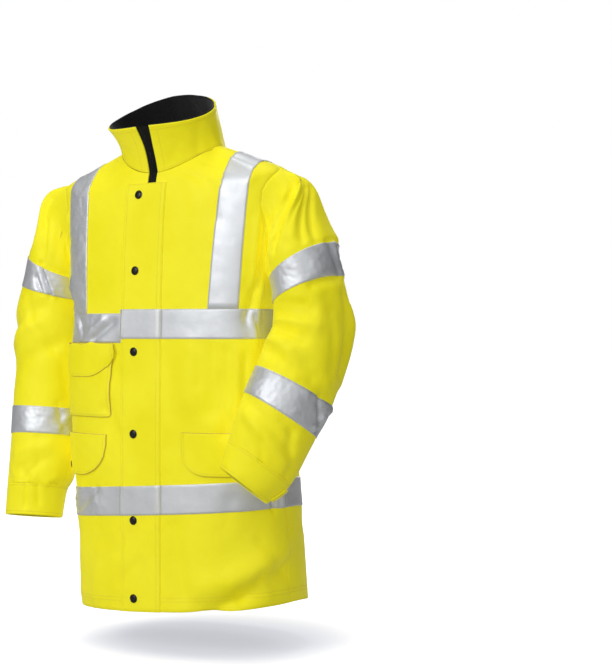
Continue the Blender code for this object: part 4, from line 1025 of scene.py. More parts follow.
storm_flap = flap_piece("storm_flap", slice(None), FLAP_LIFT, FLAP_THICKNESS, shell,
                        "fluorescent_cloth", panels["front_left"])
flap_lines = []
up = np.linspace(flap_rows[0] + FLAP_STITCH_LOW, flap_rows[-1] - FLAP_STITCH_HIGH, 500)
on_tape = np.zeros_like(up)
for label, rows in TAPE_ROWS.items():
    flap_piece(f"{label}_tape_flap", rows, FLAP_TOP + TAPE_LIFT, TAPE_THICKNESS, (silver_tape,),
               "reflective_tape", storm_flap)
    low, high = flap_rows[rows][[0, -1]]
    x = np.linspace(STORM_FREE_X + FLAP_TAPE_END, STORM_SEWN_X - FLAP_TAPE_END, 60)
    for share in (TAPE_STITCH_IN / 2, 1 - TAPE_STITCH_IN / 2):
        level = np.full_like(x, low + (high - low) * share)
        tape_lines.append(flap_line(x, level, FLAP_TOP + TAPE_LIFT + TAPE_THICKNESS))
    on_tape = np.where((up > low) & (up < high), TAPE_TOP, on_tape)

for x in FLAP_STITCHES:
    flap_lines.append(flap_line(np.full_like(up, x), up,
                                FLAP_TOP + on_tape + THREAD_RADIUS / 3))
x = np.linspace(*FLAP_STITCHES[:2], 60)
flap_lines.append(flap_line(x, np.full_like(x, up[-1]), FLAP_TOP))
stitches("flap_stitching", flap_lines)


# ==================================================================== studs
# Black enamelled press studs: a domed metal cap in a flat ring, whose prongs are pressed through
# the doubled cloth. Six close the storm flap and one closes a pocket.
STUD_X, STUD_RADIUS, STUD_HEIGHT, STUD_SIDES = -0.023, 0.0075, 0.0024, 36
STUD_HEIGHTS = (-0.081, -0.210, -0.347, -0.486, -0.632, -0.764)
# From the crown outwards and down, as shares of the radius and the height.
STUD_PROFILE = np.array(((0.22, 0.99), (0.44, 0.95), (0.62, 0.86), (0.74, 0.72), (0.80, 0.52),
                         (0.815, 0.34), (0.86, 0.27), (0.95, 0.25), (1.0, 0.16), (1.0, 0.0)))

stud_enamel = moulded_black("stud enamel", roughness=0.22, grain=0.00001)


def stud_place(height):
    """Angle and height share of the studs' line at a height."""
    ups = np.linspace(0, 1, 600)
    heights = plain_body(front_angle(STUD_X, ups), ups)[:, 2]
    up = np.interp(height, heights, ups)
    return front_angle(STUD_X, up), up


def stud(name, angle, up, lift):
    """The profile turned about the cloth's normal, closed by a crown and a foot point."""
    angle, up = np.array(angle), np.array(up)
    normal = outward(body, angle, up)
    middle = body(angle, up) + normal * lift
    side = unit(np.cross((0, 0, 1), normal))
    rise = np.cross(normal, side)
    turn = np.arange(STUD_SIDES) * 2 * np.pi / STUD_SIDES
    spoke = np.cos(turn)[:, None] * side + np.sin(turn)[:, None] * rise
    rings = (middle + spoke * STUD_RADIUS * STUD_PROFILE[:, :1, None]
             + normal * STUD_HEIGHT * STUD_PROFILE[:, 1:, None]).reshape(-1, 3)
    points = np.vstack((rings, middle + normal * STUD_HEIGHT, middle))
    number = np.arange(len(rings)).reshape(len(STUD_PROFILE), STUD_SIDES)
    after = np.roll(number, -1, axis=1)
    walls = np.stack((number[:-1], number[1:], after[1:], after[:-1]), -1).reshape(-1, 4)
    crown = np.stack((number[0], after[0], np.full(STUD_SIDES, len(rings))), -1)
    foot = np.stack((after[-1], number[-1], np.full(STUD_SIDES, len(rings) + 1)), -1)
    faces = walls.tolist() + crown.tolist() + foot.tolist()
    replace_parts(piece(name, points, faces, (stud_enamel,)), name)


for number, height in enumerate(STUD_HEIGHTS, 1):
    stud(f"stud_{number}", *stud_place(height), FLAP_TOP + GAP)


# ==================================================================== collar
# A stand collar of two yellow leaves of cloth, lined with black fleece, sewn to the neckline
# and topstitched all round. Its front edges hold the zip.
LINING_WALL, LINING_RISE = 0.0020, 0.025     # it stands higher than the collar, behind
NECK_RADIUS, COLLAR_CELLS = 0.10, 5
COLLAR_CREASES = (                 # degrees, metres above the neckline, as on the body
    (52, 0.004, 62, 0.050, 0.009, -0.0016),
    (84, 0.000, 78, 0.040, 0.010, 0.0014),
    (104, 0.010, 112, 0.060, 0.012, -0.0014),
    (34, 0.030, 20, 0.006, 0.009, -0.0012),
    (-36, 0.034, -22, 0.008, 0.009, -0.0012),
    (-58, 0.006, -66, 0.050, 0.010, -0.0014),
    (-92, 0.000, -86, 0.044, 0.010, 0.0014),
    (150, 0.010, 158, 0.080, 0.014, -0.0012),
    (196, 0.004, 188, 0.070, 0.014, 0.0012),
    (222, 0.010, 232, 0.060, 0.012, -0.0014),
)
COLLAR_STITCHES = (0.05, 0.91)     # shares of the collar's height
COLLAR_STITCH_IN = {"turn": 0.05, "columns": 4}      # from its front edges
OPENING_FADE = 2.2                 # how soon the front's opening ends, going round
FLEECE, FLEECE_TIPS = (0.004, 0.004, 0.005, 1.0), (0.014, 0.014, 0.016, 1.0)


def collar_layer(angle, rise, lift):
    """Points of the collar moved out by `lift` and by its creases."""
    normal = outward(collar, angle, rise)
    crease = fold_height(COLLAR_CREASES, NECK_RADIUS, angle, rise * COLLAR_TOP["rise"])
    return collar(angle, rise) + normal * (lift + crease)[..., None]


def collar_line(turn, rise):
    """A line of points on the collar with its normals, for stitching."""
    return collar_layer(turn, rise, THREAD_RADIUS / 3), outward(collar, turn, rise)


def neck_angles():
    """Angles of the neckline's points, from the wearer's left front edge round the back."""
    quarters = []
    for lines, power in ((FRONT_LEFT_LINES, "front_square"), (BACK_LINES, "back_square")):
        x = np.array([shoulder for _, shoulder in lines if shoulder <= NECK_HALF_WIDTH])
        quarters.append(angle_at(x, 1.0, power))
    front, behind = quarters
    half = np.concatenate((front[:-1], [np.pi / 2], np.pi - behind[::-1][1:]))
    return np.concatenate((half, 2 * np.pi - half[::-1][1:]))


def fleece():
    """Black brushed fleece: clumps of short pile, paler at the tips."""
    finish = Finish("black fleece", {"Sheen Weight": 0.25, "Sheen Roughness": 0.5,
                                     "Specular IOR Level": 0.2})
    pile = finish.noise(420, 3)
    finish.feed("Base Color", pile.between(0.4, 0.8).mix(FLEECE, FLEECE_TIPS))
    finish.feed("Roughness", finish.noise(90) * 0.1 + 0.85)
    finish.raise_by(((finish.noise(60, 2), 0.0012), (pile, 0.0008)))
    return finish.material


black_fleece = fleece()
rise, angle = np.meshgrid(np.linspace(0, 1, COLLAR_CELLS + 1), neck_angles(), indexing="ij")
start = np.arcsin(collar_half_gap(rise) / NECK_HALF_WIDTH) - angle[0, 0]
fade = np.clip(1 - np.abs(np.sin(angle / 2)) * OPENING_FADE, 0, 1)
angle = angle + np.sign(np.pi - angle) * start * fade
rise, angle = finer(rise), finer(angle)
front_edges = ("first", "last")
outer, inner = collar_layer(angle, rise, 0), collar_layer(angle, rise, -WALL)
inner[0, :, 2] = outer[0, :, 2]            # both leaves start at one height
cloth("collar", outer, inner, (yellow_cloth, yellow_cloth), "fluorescent_cloth", "hung",
      pulled=front_edges, sewn=("bottom",))
outer = collar_layer(angle, rise, -WALL - GAP)
inner = collar_layer(angle, rise, -WALL - GAP - LINING_WALL)
outer[0, :, 2] = inner[0, :, 2] = collar(angle, rise)[0, :, 2]
# The lining starts there too, and stands higher than the collar, most of all behind.
higher = LINING_RISE * (len(rise) - 1) * (1 - np.cos(angle[-1:].T)) / 2
outer[-1] += (outer[-1] - outer[-2]) * higher
inner[-1] += (inner[-1] - inner[-2]) * higher
cloth("collar_lining", outer, inner, (black_fleece, black_fleece), "collar_lining", "hung",
      pulled=front_edges)

collar_lines = []
for height in COLLAR_STITCHES:
    turn = np.linspace(angle[0, 0] + COLLAR_STITCH_IN["turn"],
                       angle[0, -1] - COLLAR_STITCH_IN["turn"], 400)
    collar_lines.append(collar_line(turn, np.full_like(turn, height)))
for column in (COLLAR_STITCH_IN["columns"], -1 - COLLAR_STITCH_IN["columns"]):
    level = np.linspace(*COLLAR_STITCHES, 60)
    collar_lines.append(collar_line(np.interp(level, rise[:, 0], angle[:, column]), level))
stitches("collar_stitching", collar_lines)


# ==================================================================== sleeves
# Two-piece sleeves of the same cloth, set into the armholes, each with two rings of tape. The
# cap is full and pulls into ridges towards the armpit, and the elbow is creased on its inside.
RING_COLUMNS = ("along", "x", "y", "z", "lean", "pitch", "across", "deep")
LEFT_RINGS = np.array((
    (0.000, 0.254, -0.050, -0.190, 33, 0, 0.061, 0.066),
    (0.035, 0.262, -0.052, -0.222, 30, 0, 0.060, 0.063),
    (0.115, 0.272, -0.050, -0.300, 6, 8, 0.064, 0.068),
    (0.165, 0.269, -0.068, -0.348, -10, 16, 0.066, 0.067),
    (0.218, 0.264, -0.090, -0.395, -20, 22, 0.066, 0.066),
    (0.305, 0.242, -0.126, -0.475, -27, 25, 0.063, 0.060),
    (0.365, 0.222, -0.137, -0.528, -29, 25, 0.057, 0.053),
    (0.408, 0.203, -0.152, -0.561, -30, 28, 0.043, 0.044),
))
RIGHT_RINGS = np.array((
    (0.000, 0.259, -0.041, -0.188, 28, 0, 0.056, 0.063),
    (0.035, 0.264, -0.041, -0.220, 18, 2, 0.058, 0.063),
    (0.115, 0.277, -0.043, -0.300, 7, 3, 0.066, 0.067),
    (0.190, 0.278, -0.045, -0.375, 0, 4, 0.065, 0.066),
    (0.270, 0.278, -0.052, -0.454, 0, 7, 0.063, 0.065),
    (0.350, 0.277, -0.064, -0.533, -2, 9, 0.061, 0.064),
    (0.394, 0.278, -0.073, -0.576, -2, 9, 0.058, 0.061),
    (0.414, 0.280, -0.081, -0.596, -2, 9, 0.053, 0.056),
    (0.463, 0.280, -0.091, -0.645, -2, 9, 0.051, 0.052),
))
# Distances down each sleeve: middles of its two tapes, cuff seam and end.
LEFT_MARKS = {"upper_tape": 0.035, "lower_tape": 0.250, "cuff": 0.358, "end": 0.408}
RIGHT_MARKS = {"upper_tape": 0.034, "lower_tape": 0.294, "cuff": 0.408, "end": 0.463}
SLEEVE_SIDES = 2 * CELLS_TO_TOP    # one for each cell of the armhole's edge
SLEEVE_CELLS = (7, 1, 2, 7, 2, 3)  # in the cap, to a tape, in it, to the next, in it, to the cuff
CAP_RUN = 0.15             # length that the cap counts for in the fold tables
CAP_PLAIN = 0.012          # its stretch beside the armhole that has no folds
CAP_PULL = {"left": (1.1, 1.9), "right": (1.3, 2.2)}   # at the armpit and at the shoulder
CAP_TURN_IN = 0.4          # how much it first leans towards the armhole's middle, below the tip
ARMHOLE_GAP = 0.0002
TOP_WAY = {"left": np.array((0.93, 0.0, -0.36)),      # how the cap leaves the shoulder seam
           "right": np.array((0.995, 0.0, -0.10))}
ARMPIT_WAY = np.array((0.50, 0.0, -0.87))   # and the armpit
SLEEVE_RADIUS = 0.063
LEFT_SLEEVE_FOLDS = (
    (150, -0.125, 112, -0.020, 0.012, 0.0060),
    (132, -0.120, 92, -0.030, 0.011, -0.0060),
    (112, -0.110, 72, -0.030, 0.012, 0.0055),
    (176, -0.110, 150, 0.000, 0.014, -0.0045),
    (205, -0.110, 205, 0.000, 0.016, 0.0045),
    (240, -0.110, 262, -0.020, 0.014, -0.0050),
    (66, 0.090, 118, 0.104, 0.010, -0.0065),
    (64, 0.114, 128, 0.130, 0.011, 0.0060),
    (62, 0.140, 112, 0.152, 0.010, -0.0070),
    (60, 0.166, 100, 0.176, 0.012, 0.0055),
    (58, 0.190, 88, 0.196, 0.010, -0.0055),
    (150, 0.090, 196, 0.140, 0.014, -0.0045),
    (200, 0.120, 250, 0.190, 0.018, 0.0045),
    (130, 0.190, 170, 0.225, 0.014, -0.0040),
    (60, 0.285, 150, 0.315, 0.012, -0.0045),
    (70, 0.305, 160, 0.335, 0.012, 0.0045),
    (260, 0.280, 330, 0.320, 0.014, -0.0045),
)
RIGHT_SLEEVE_FOLDS = (
    (150, -0.120, 118, -0.020, 0.014, 0.0045),
    (130, -0.115, 96, -0.020, 0.012, -0.0045),
    (214, -0.115, 240, -0.020, 0.014, 0.0045),
    (234, -0.110, 262, -0.030, 0.012, -0.0045),
    (70, 0.085, 150, 0.135, 0.014, -0.0050),
    (80, 0.115, 165, 0.165, 0.014, 0.0045),
    (40, 0.150, 120, 0.195, 0.014, -0.0045),
    (190, 0.100, 255, 0.150, 0.016, 0.0045),
    (200, 0.145, 280, 0.190, 0.014, -0.0045),
    (44, 0.340, 104, 0.356, 0.010, 0.0026),
    (44, 0.366, 100, 0.386, 0.010, -0.0030),
    (200, 0.345, 290, 0.370, 0.012, -0.0045),
    (150, 0.215, 230, 0.245, 0.016, -0.0035),
)
LEFT_SLEEVE_CREASES = (
    (158, -0.108, 106, -0.012, 0.007, -0.0024),
    (148, -0.112, 90, -0.022, 0.006, 0.0018),
    (140, -0.112, 78, -0.018, 0.006, -0.0034),
    (164, -0.092, 130, -0.006, 0.007, -0.0030),
    (190, -0.090, 152, -0.008, 0.006, -0.0024),
    (118, -0.112, 84, -0.050, 0.006, -0.0026),
    (104, -0.100, 72, -0.030, 0.006, -0.0026),
    (64, -0.060, 46, 0.000, 0.006, -0.0030),
    (40, -0.050, 30, 0.000, 0.006, 0.0018),
    (172, 0.010, 186, 0.060, 0.006, -0.0024),       # outer end of the upper tape
    (186, 0.012, 196, 0.058, 0.005, 0.0018),
    (128, 0.066, 176, 0.062, 0.007, -0.0030),       # pulled under the upper tape
    (70, 0.076, 112, 0.092, 0.007, -0.0024),        # inside of the elbow
    (66, 0.100, 106, 0.114, 0.007, -0.0026),
    (62, 0.126, 96, 0.142, 0.007, -0.0026),
    (60, 0.152, 88, 0.164, 0.007, 0.0018),
    (58, 0.176, 84, 0.188, 0.007, -0.0022),
    (150, 0.110, 168, 0.180, 0.010, -0.0016),
    (184, 0.086, 190, 0.176, 0.009, -0.0020),
    (200, 0.100, 214, 0.190, 0.009, 0.0018),
    (96, 0.204, 140, 0.210, 0.009, -0.0020),        # above the lower tape
    (120, 0.214, 168, 0.206, 0.008, 0.0014),
    (164, 0.228, 188, 0.266, 0.005, -0.0034),       # its crumpled outer end
    (178, 0.266, 196, 0.232, 0.005, 0.0032),
    (196, 0.244, 212, 0.270, 0.006, -0.0022),
    (128, 0.284, 150, 0.292, 0.006, -0.0016),
    (146, 0.290, 172, 0.346, 0.009, -0.0018),
    (60, 0.300, 100, 0.350, 0.012, -0.0010),
    (112, 0.330, 122, 0.356, 0.006, -0.0014),
    (230, 0.120, 280, 0.160, 0.010, -0.0020),
    (250, 0.150, 300, 0.200, 0.010, 0.0018),
    (236, -0.080, 268, -0.010, 0.008, -0.0022),
)
RIGHT_SLEEVE_CREASES = (
    (84, 0.002, 58, 0.062, 0.0040, -0.0034),        # the sharp pinch across the upper tape
    (78, 0.004, 52, 0.060, 0.0040, 0.0022),
    (90, 0.034, 74, 0.058, 0.0040, -0.0026),
    (110, -0.070, 84, -0.010, 0.008, -0.0012),
    (70, -0.100, 60, -0.020, 0.010, -0.0010),
    (100, 0.070, 84, 0.110, 0.008, -0.0012),
    (88, 0.110, 46, 0.160, 0.008, -0.0018),         # soft diagonals towards the elbow
    (98, 0.104, 60, 0.150, 0.007, 0.0014),
    (60, 0.150, 30, 0.180, 0.009, -0.0016),
    (130, 0.120, 150, 0.220, 0.012, -0.0012),
    (30, 0.200, 20, 0.250, 0.010, -0.0020),
    (36, 0.262, 22, 0.312, 0.006, -0.0020),         # crumpled inner end of the lower tape
    (30, 0.306, 14, 0.280, 0.006, 0.0018),
    (64, 0.330, 52, 0.392, 0.009, -0.0014),
    (88, 0.384, 76, 0.398, 0.006, -0.0016),         # pinched above the cuff
    (76, 0.396, 60, 0.378, 0.006, -0.0018),
    (72, 0.408, 70, 0.446, 0.006, -0.0020),
    (50, 0.412, 44, 0.440, 0.007, -0.0016),
    (34, 0.404, 24, 0.396, 0.007, 0.0016),
    (110, 0.404, 124, 0.396, 0.007, -0.0014),
    (200, 0.060, 230, 0.120, 0.010, -0.0018),
    (250, 0.150, 290, 0.200, 0.010, -0.0018),
    (220, 0.330, 270, 0.370, 0.009, -0.0018),
    (236, -0.080, 268, -0.010, 0.008, -0.0020),
)


def armhole_place(turn, side):
    """Body angle and height share of the armhole's edge, for angles round the sleeve: armpit,
    front, shoulder tip, back; straight between the panels' own points. `side` is 1 for the
    wearer's left and -1 for the right."""
    step = 2 * np.pi / SLEEVE_SIDES
    cell = np.floor(turn / step + 1e-6)
    share = turn / step - cell
    ends = []
    for corner in (cell, cell + 1):
        at = (corner * step) % (2 * np.pi)
        climb = np.clip(np.where(at < np.pi, at, 2 * np.pi - at) / np.pi, 0, 1)
        high = armhole_share(climb)
        angle = np.where(turn % (2 * np.pi) < np.pi, armhole_angle(high, "front_square"),
                         np.pi - armhole_angle(high, "back_square"))
        ends.append((angle, ARMPIT_UP + (TIP_UP - ARMPIT_UP) * high))
    angle, up = (first * (1 - share) + last * share for first, last in zip(*ends))
    return side * angle, up


def ring(table, turn, along):
    """Points of a sleeve's elliptical rings: the middle and two slanting half axes."""
    value = {name: smooth(table, RING_COLUMNS, name, along) for name in RING_COLUMNS[1:]}
    lean, pitch = np.radians(value["lean"]), np.radians(value["pitch"])
    flat = np.zeros_like(lean)
    inner_way = np.stack((-np.cos(lean), flat, -np.sin(lean)), -1)
    front_way = np.stack((flat, -np.cos(pitch), np.sin(pitch)), -1)
    middle = np.stack((value["x"], value["y"], value["z"]), -1)
    across = (np.cos(turn) * value["across"])[..., None]
    deep = (np.sin(turn) * value["deep"])[..., None]
    return middle + inner_way * across + front_way * deep


class Sleeve:
    """A sleeve as a surface of the angle round it and the place along it: the cap counts from
    -CAP_RUN to 0 and the tube on from there."""

    def __init__(self, label, rings, creases, marks):
        self.rings, self.creases, self.marks = rings, creases, marks
        self.side = 1 if label == "left" else -1
        self.top_way, self.pull = TOP_WAY[label], CAP_PULL[label]
        all_round = np.arange(SLEEVE_SIDES) * 2 * np.pi / SLEEVE_SIDES
        self.hole_middle = self.edge(all_round).mean(axis=0)

    def edge(self, turn):
        """The armhole's edge, on the wearer's left."""
        return body(*armhole_place(turn, self.side)) * (self.side, 1, 1)

    def plain(self, turn, place):
        """Without folds: the cap is a cubic from the armhole's edge to the first ring."""
        turn, place = np.broadcast_arrays(turn, place)
        tube = ring(self.rings, turn, np.maximum(place, 0))
        t = np.clip(1 + place / CAP_RUN, 0, 1)[..., None]
        edge = self.edge(turn)
        first = ring(self.rings, turn, np.zeros_like(place))
        lean = np.radians(self.rings[0][4])
        down = np.array((np.sin(lean), 0, -np.cos(lean)))
        share = ((1 - np.cos(turn)) / 2)[..., None]
        inwards = unit(self.hole_middle - edge)
        leave = unit(ARMPIT_WAY * (1 - share) + self.top_way * share
                     + inwards * CAP_TURN_IN * (1 - share ** 2))
        pull = self.pull[0] * (1 - share) + self.pull[1] * share
        pull = pull * np.linalg.norm(first - edge, axis=-1, keepdims=True)
        edge = edge + inwards * ARMHOLE_GAP
        cap = (edge * (1 + 2 * t) * (1 - t) ** 2 + leave * pull * t * (1 - t) ** 2
               + first * t ** 2 * (3 - 2 * t) - down * pull * t ** 2 * (1 - t))
        points = np.where((place < 0)[..., None], cap, tube)
        return points * (self.side, 1, 1)

    def normals(self, surface, turn, place):
        """Outward normals of one of this sleeve's surfaces."""
        return outward(surface, turn, place, -CAP_RUN, self.marks["end"], -self.side)

    def folded(self, turn, place):
        """With folds and creases, which fade out at the armhole."""
        folds, creases = self.creases
        height = (fold_height(folds, SLEEVE_RADIUS, turn, place)
                  + fold_height(creases, SLEEVE_RADIUS, turn, place) * CREASE_DEPTH)
        fade = np.clip((place + CAP_RUN) / CAP_PLAIN, 0, 1)
        normal = self.normals(self.plain, turn, place)
        return self.plain(turn, place) + normal * (height * fade)[..., None]

    def layer(self, turn, place, lift):
        """Points moved out by `lift`."""
        return self.folded(turn, place) + self.normals(self.folded, turn, place) * lift

    def line(self, turn, place, lift=0):
        """A line of points with its normals, for stitching."""
        return (self.layer(turn, place, lift + THREAD_RADIUS / 3),
                self.normals(self.folded, turn, place))

    def round_line(self, place, lift=0):
        """The same all round the sleeve, at a place along it."""
        turn = np.linspace(0, 2 * np.pi, 240)
        return self.line(turn, np.full_like(turn, place), lift)


FINE_TURNS = np.arange(SLEEVE_SIDES * FINE) * 2 * np.pi / (SLEEVE_SIDES * FINE)


def tube(name, sleeve, places, low, high, finishes, slot, held, under=(), **borders):
    """A closed ring of cloth round a sleeve, over the given places along it."""
    places = finer(np.stack((places, places), 1), across=1)[:, 0]
    place, turn = np.meshgrid(places, FINE_TURNS, indexing="ij")
    outer, inner = sleeve.layer(turn, place, high), sleeve.layer(turn, place, low)
    if places[0] == -CAP_RUN:
        panel_normal = outward(body, *armhole_place(turn[0], sleeve.side))
        inner[0] = outer[0] + panel_normal * low
    return cloth(name, outer, inner, finishes, slot, held, under, ring=True, **borders)


HALF_TAPE = TAPE_WIDTH / 2
SLEEVE_TAPE_STITCH = HALF_TAPE * (1 - TAPE_STITCH_IN)
SEAM_TURN, SEAM_SHORT = 0.05, 0.004     # how the stitching keeps off the seam and the cuff
sleeves, sleeve_lines = {}, []
for label, rings, creases, marks in (
        ("left", LEFT_RINGS, (LEFT_SLEEVE_FOLDS, LEFT_SLEEVE_CREASES), LEFT_MARKS),
        ("right", RIGHT_RINGS, (RIGHT_SLEEVE_FOLDS, RIGHT_SLEEVE_CREASES), RIGHT_MARKS)):
    sleeve = sleeves[label] = Sleeve(label, rings, creases, marks)
    upper, lower = marks["upper_tape"], marks["lower_tape"]
    places = rows_between((-CAP_RUN, 0, upper - HALF_TAPE, upper + HALF_TAPE,
                           lower - HALF_TAPE, lower + HALF_TAPE, marks["cuff"]), SLEEVE_CELLS)
    made = tube(f"sleeve_{label}", sleeve, places, -WALL, 0, shell, "fluorescent_cloth", "hung",
                pulled=("top",), sewn=("bottom", "top"))
    for band, middle in (("upper_tape", upper), ("lower_tape", lower)):
        edges = middle + np.array((-HALF_TAPE, 0, HALF_TAPE))
        tube(f"sleeve_{band}_{label}", sleeve, edges, TAPE_LIFT, TAPE_TOP, (silver_tape,),
             "reflective_tape", "laid", (made,))
        for side in (-1, 1):
            tape_lines.append(sleeve.round_line(middle + side * SLEEVE_TAPE_STITCH, TAPE_TOP))
    along = np.linspace(0.0, marks["cuff"] - SEAM_SHORT, 300)
    clear = (np.abs(along - upper) > HALF_TAPE) & (np.abs(along - lower) > HALF_TAPE)
    for stretch in (along < upper, (along > upper) & (along < lower), along > lower):
        place = along[clear & stretch]
        sleeve_lines.append(sleeve.line(np.full_like(place, SEAM_TURN), place))
stitches("sleeve_seam_stitching", sleeve_lines)

# Topstitching on the panels, beside the armholes and beside the shoulder seams as far as the
# braces.
ARMHOLE_ROWS = slice(CHEST_START + CELLS_IN_TAPE + CELLS_TO_ARMPIT, None)
ARMHOLE_STITCH_IN = 0.5            # columns in from the armhole
BRACE_EDGE, SHOULDER_TURN = 0.190, 0.03     # from the middle; angle off the seam
SHOULDER_STITCHES = (TIP_UP + 0.004, 0.996)
seam_lines = []
for angle, up in ((left_angle, left_up), (right_angle[:, ::-1], right_up[:, ::-1]),
                  (back_angle, back_up), (back_angle[:, ::-1], back_up[:, ::-1])):
    column = angle.shape[1] - 1 - ARMHOLE_STITCH_IN
    seam_lines.append(body_line(*side_line(angle, up, ARMHOLE_ROWS, column), 0))
seam_up = np.linspace(*SHOULDER_STITCHES, 120)
seam_up = seam_up[section("half_width", seam_up) > BRACE_EDGE]
for side in (-1, 1):
    turn = np.full_like(seam_up, side * (np.pi / 2 + SHOULDER_TURN))
    seam_lines.append(body_line(turn, seam_up, 0))
stitches("seam_stitching", seam_lines)


# ==================================================================== cuffs
# Straight cuffs of doubled cloth, gathered on to the sleeves and hemmed, each with a small tab
# that tightens the wrist.
CUFF_CELLS = 3
CUFF_TAB = {"from": 190, "to": 268, "low": 0.012, "high": 0.040, "lift": 0.0012}
CUFF_STITCHES = (0.004, -0.006)    # below the seam and above the edge
TAB_CELLS, TAB_SIDES = 8, 36
TAB_STITCH = {"share": 0.10, "degrees": 4, "run": 0.004}     # in from the tab's edges
TAB_TOP = CUFF_TAB["lift"] + FLAP_THICKNESS

cuff_lines = []
for label, sleeve in sleeves.items():
    seam, end = sleeve.marks["cuff"], sleeve.marks["end"]
    made = tube(f"cuff_{label}", sleeve, np.linspace(seam, end, CUFF_CELLS + 1), -WALL, 0,
                shell, "fluorescent_cloth", "hung", pulled=("bottom",), sewn=("bottom",))
    for place in (seam + CUFF_STITCHES[0], end + CUFF_STITCHES[1]):
        cuff_lines.append(sleeve.round_line(place))
    low, high = seam + CUFF_TAB["low"], seam + CUFF_TAB["high"]
    degrees = np.linspace(CUFF_TAB["from"], CUFF_TAB["to"], TAB_SIDES + 1)
    place, turn = np.meshgrid(np.linspace(low, high, TAB_CELLS + 1), np.radians(degrees),
                              indexing="ij")
    cloth(f"cuff_tab_{label}", sleeve.layer(turn, place, TAB_TOP),
          sleeve.layer(turn, place, CUFF_TAB["lift"]), shell, "fluorescent_cloth", "laid",
          (made,))
    sides = (CUFF_TAB["from"] + TAB_STITCH["degrees"], CUFF_TAB["to"] - TAB_STITCH["degrees"])
    for share in (TAB_STITCH["share"], 1 - TAB_STITCH["share"]):
        across = np.radians(np.linspace(*sides, 40))
        level = np.full_like(across, low + (high - low) * share)
        cuff_lines.append(sleeve.line(across, level, TAB_TOP))
    for side in sides:
        level = np.linspace(low + TAB_STITCH["run"], high - TAB_STITCH["run"], 30)
        cuff_lines.append(sleeve.line(np.full_like(level, np.radians(side)), level, TAB_TOP))
stitches("cuff_stitching", cuff_lines)


# ==================================================================== pockets
# A patch pocket on the wearer's right chest with a round-cornered flap, and two wide flaps lower
# down over pockets in the fronts: doubled cloth, sewn beside its folded edges, which show a
# browner yellow than the cloth.
POCKET_COLUMNS = ("from_angle", "to_angle", "top", "bottom", "corner", "stand_off")
CHEST_POCKET_BODY = (-62, -21, -0.352, -0.460, 0.005, 0.0040)       # degrees, then metres
CHEST_POCKET_FLAP = (-63, -20, -0.333, -0.391, 0.046, 0.0040)
RIGHT_POCKET_FLAP = (-97, -23, -0.489, -0.562, 0.056, 0.0010)
LEFT_POCKET_FLAP = (20, 86, -0.480, -0.552, 0.036, 0.0010)
POCKET_CELLS = {"across": 8, "down": 4}
POCKET_LIFT, POCKET_STITCH_IN = 0.0011, 0.0045
PATCH_FOOT = 1.5                   # how fast the patch stops standing off towards its foot
POCKET_STUD = (-66, -0.548)        # degrees and height
FOLDED_EDGE, FOLDED_EDGE_DEEP = (0.66, 0.50, 0.15, 1.0), (0.50, 0.34, 0.09, 1.0)

folded_edge = coated_cloth("folded edge", FOLDED_EDGE, FOLDED_EDGE_DEEP, glow=0.0)


def up_at(angle, height):
    """Height shares at which the body, without folds, is at these heights: by halving."""
    low = np.zeros(np.broadcast(angle, height).shape)
    high = np.ones_like(low)
    for _ in range(40):
        middle = (low + high) / 2
        under = plain_body(angle, middle)[..., 2] < height
        low = np.where(under, middle, low)
        high = np.where(under, high, middle)
    return (low + high) / 2


def pocket_place(value, down, across, patch):
    """Angle, height share and stand-off at shares down and across a pocket piece. The lower
    edge rises over the corners on quarter circles; the stand-off is a half ellipse."""
    spread = value["to_angle"] - value["from_angle"]
    width = np.radians(spread) * BODY_RADIUS
    near = np.minimum(across, 1 - across) * width
    short = np.clip(1 - near / value["corner"], 0, 1)
    lowest = value["bottom"] + value["corner"] * (1 - np.sqrt(1 - short ** 2))
    angle = np.radians(value["from_angle"] + spread * across)
    up = up_at(angle, value["top"] + (lowest - value["top"]) * down)
    swell = value["stand_off"] * np.sqrt(np.clip(4 * across * (1 - across), 0, 1))
    if patch:
        swell = swell * np.sqrt(np.clip(PATCH_FOOT * (1 - down), 0, 1))
    return angle, up, swell


pocket_lines = []


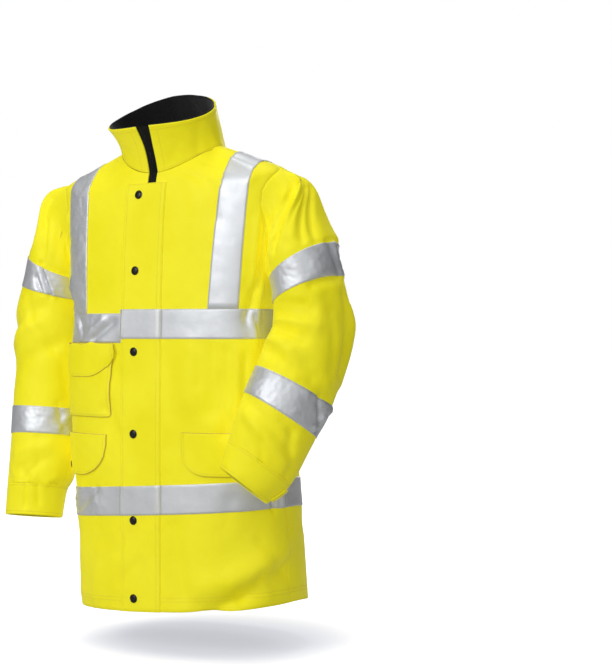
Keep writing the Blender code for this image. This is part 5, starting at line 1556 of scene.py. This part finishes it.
def pocket_piece(name, row, lift, under):
    """A patch or flap over the front, with its stitching."""
    value = dict(zip(POCKET_COLUMNS, row))
    patch = name.endswith("body")
    across = np.linspace(0, 1, POCKET_CELLS["across"] * FINE + 1)
    down = np.linspace(1, 0, POCKET_CELLS["down"] * FINE + 1)
    down, across = np.meshgrid(down, across, indexing="ij")
    angle, up, swell = pocket_place(value, down, across, patch)
    made = cloth(name, body_layer(angle, up, (lift + FLAP_THICKNESS + swell)[..., None]),
                 body_layer(angle, up, (lift + swell)[..., None]), (*shell, folded_edge),
                 "fluorescent_cloth", "laid", (under,), straight=slice(-1, None))
    tall = value["top"] - value["bottom"]
    wide = np.radians(value["to_angle"] - value["from_angle"]) * BODY_RADIUS
    side, foot = POCKET_STITCH_IN / wide, POCKET_STITCH_IN / tall
    even = np.linspace(0, 1, 160)
    for down, across in ((even * (1 - foot), np.full_like(even, side)),
                         (even * (1 - foot), np.full_like(even, 1 - side)),
                         (np.full_like(even, 1 - foot), side + even * (1 - 2 * side))):
        angle, up, swell = pocket_place(value, down, across, patch)
        pocket_lines.append(body_line(angle, up, (lift + FLAP_THICKNESS + swell)[..., None]))
    return made


patch = pocket_piece("chest_pocket_body", CHEST_POCKET_BODY, POCKET_LIFT, panels["front_right"])
pocket_piece("chest_pocket_flap", CHEST_POCKET_FLAP, POCKET_LIFT + FLAP_THICKNESS - GAP, patch)
pocket_piece("lower_pocket_flap_right", RIGHT_POCKET_FLAP, POCKET_LIFT, panels["front_right"])
pocket_piece("lower_pocket_flap_left", LEFT_POCKET_FLAP, POCKET_LIFT, panels["front_left"])
stitches("pocket_stitching", pocket_lines)
angle, height = np.radians(POCKET_STUD[0]), POCKET_STUD[1]
stud("pocket_stud", angle, up_at(angle, height),
     POCKET_LIFT + RIGHT_POCKET_FLAP[-1] + FLAP_THICKNESS + GAP)


# ==================================================================== tape stitching
# Every stretch of tape is sewn down along both of its edges with grey polyester thread. Its
# stitches come last, when each piece has given its lines.
stitches("tape_stitching", tape_lines, grey_thread)
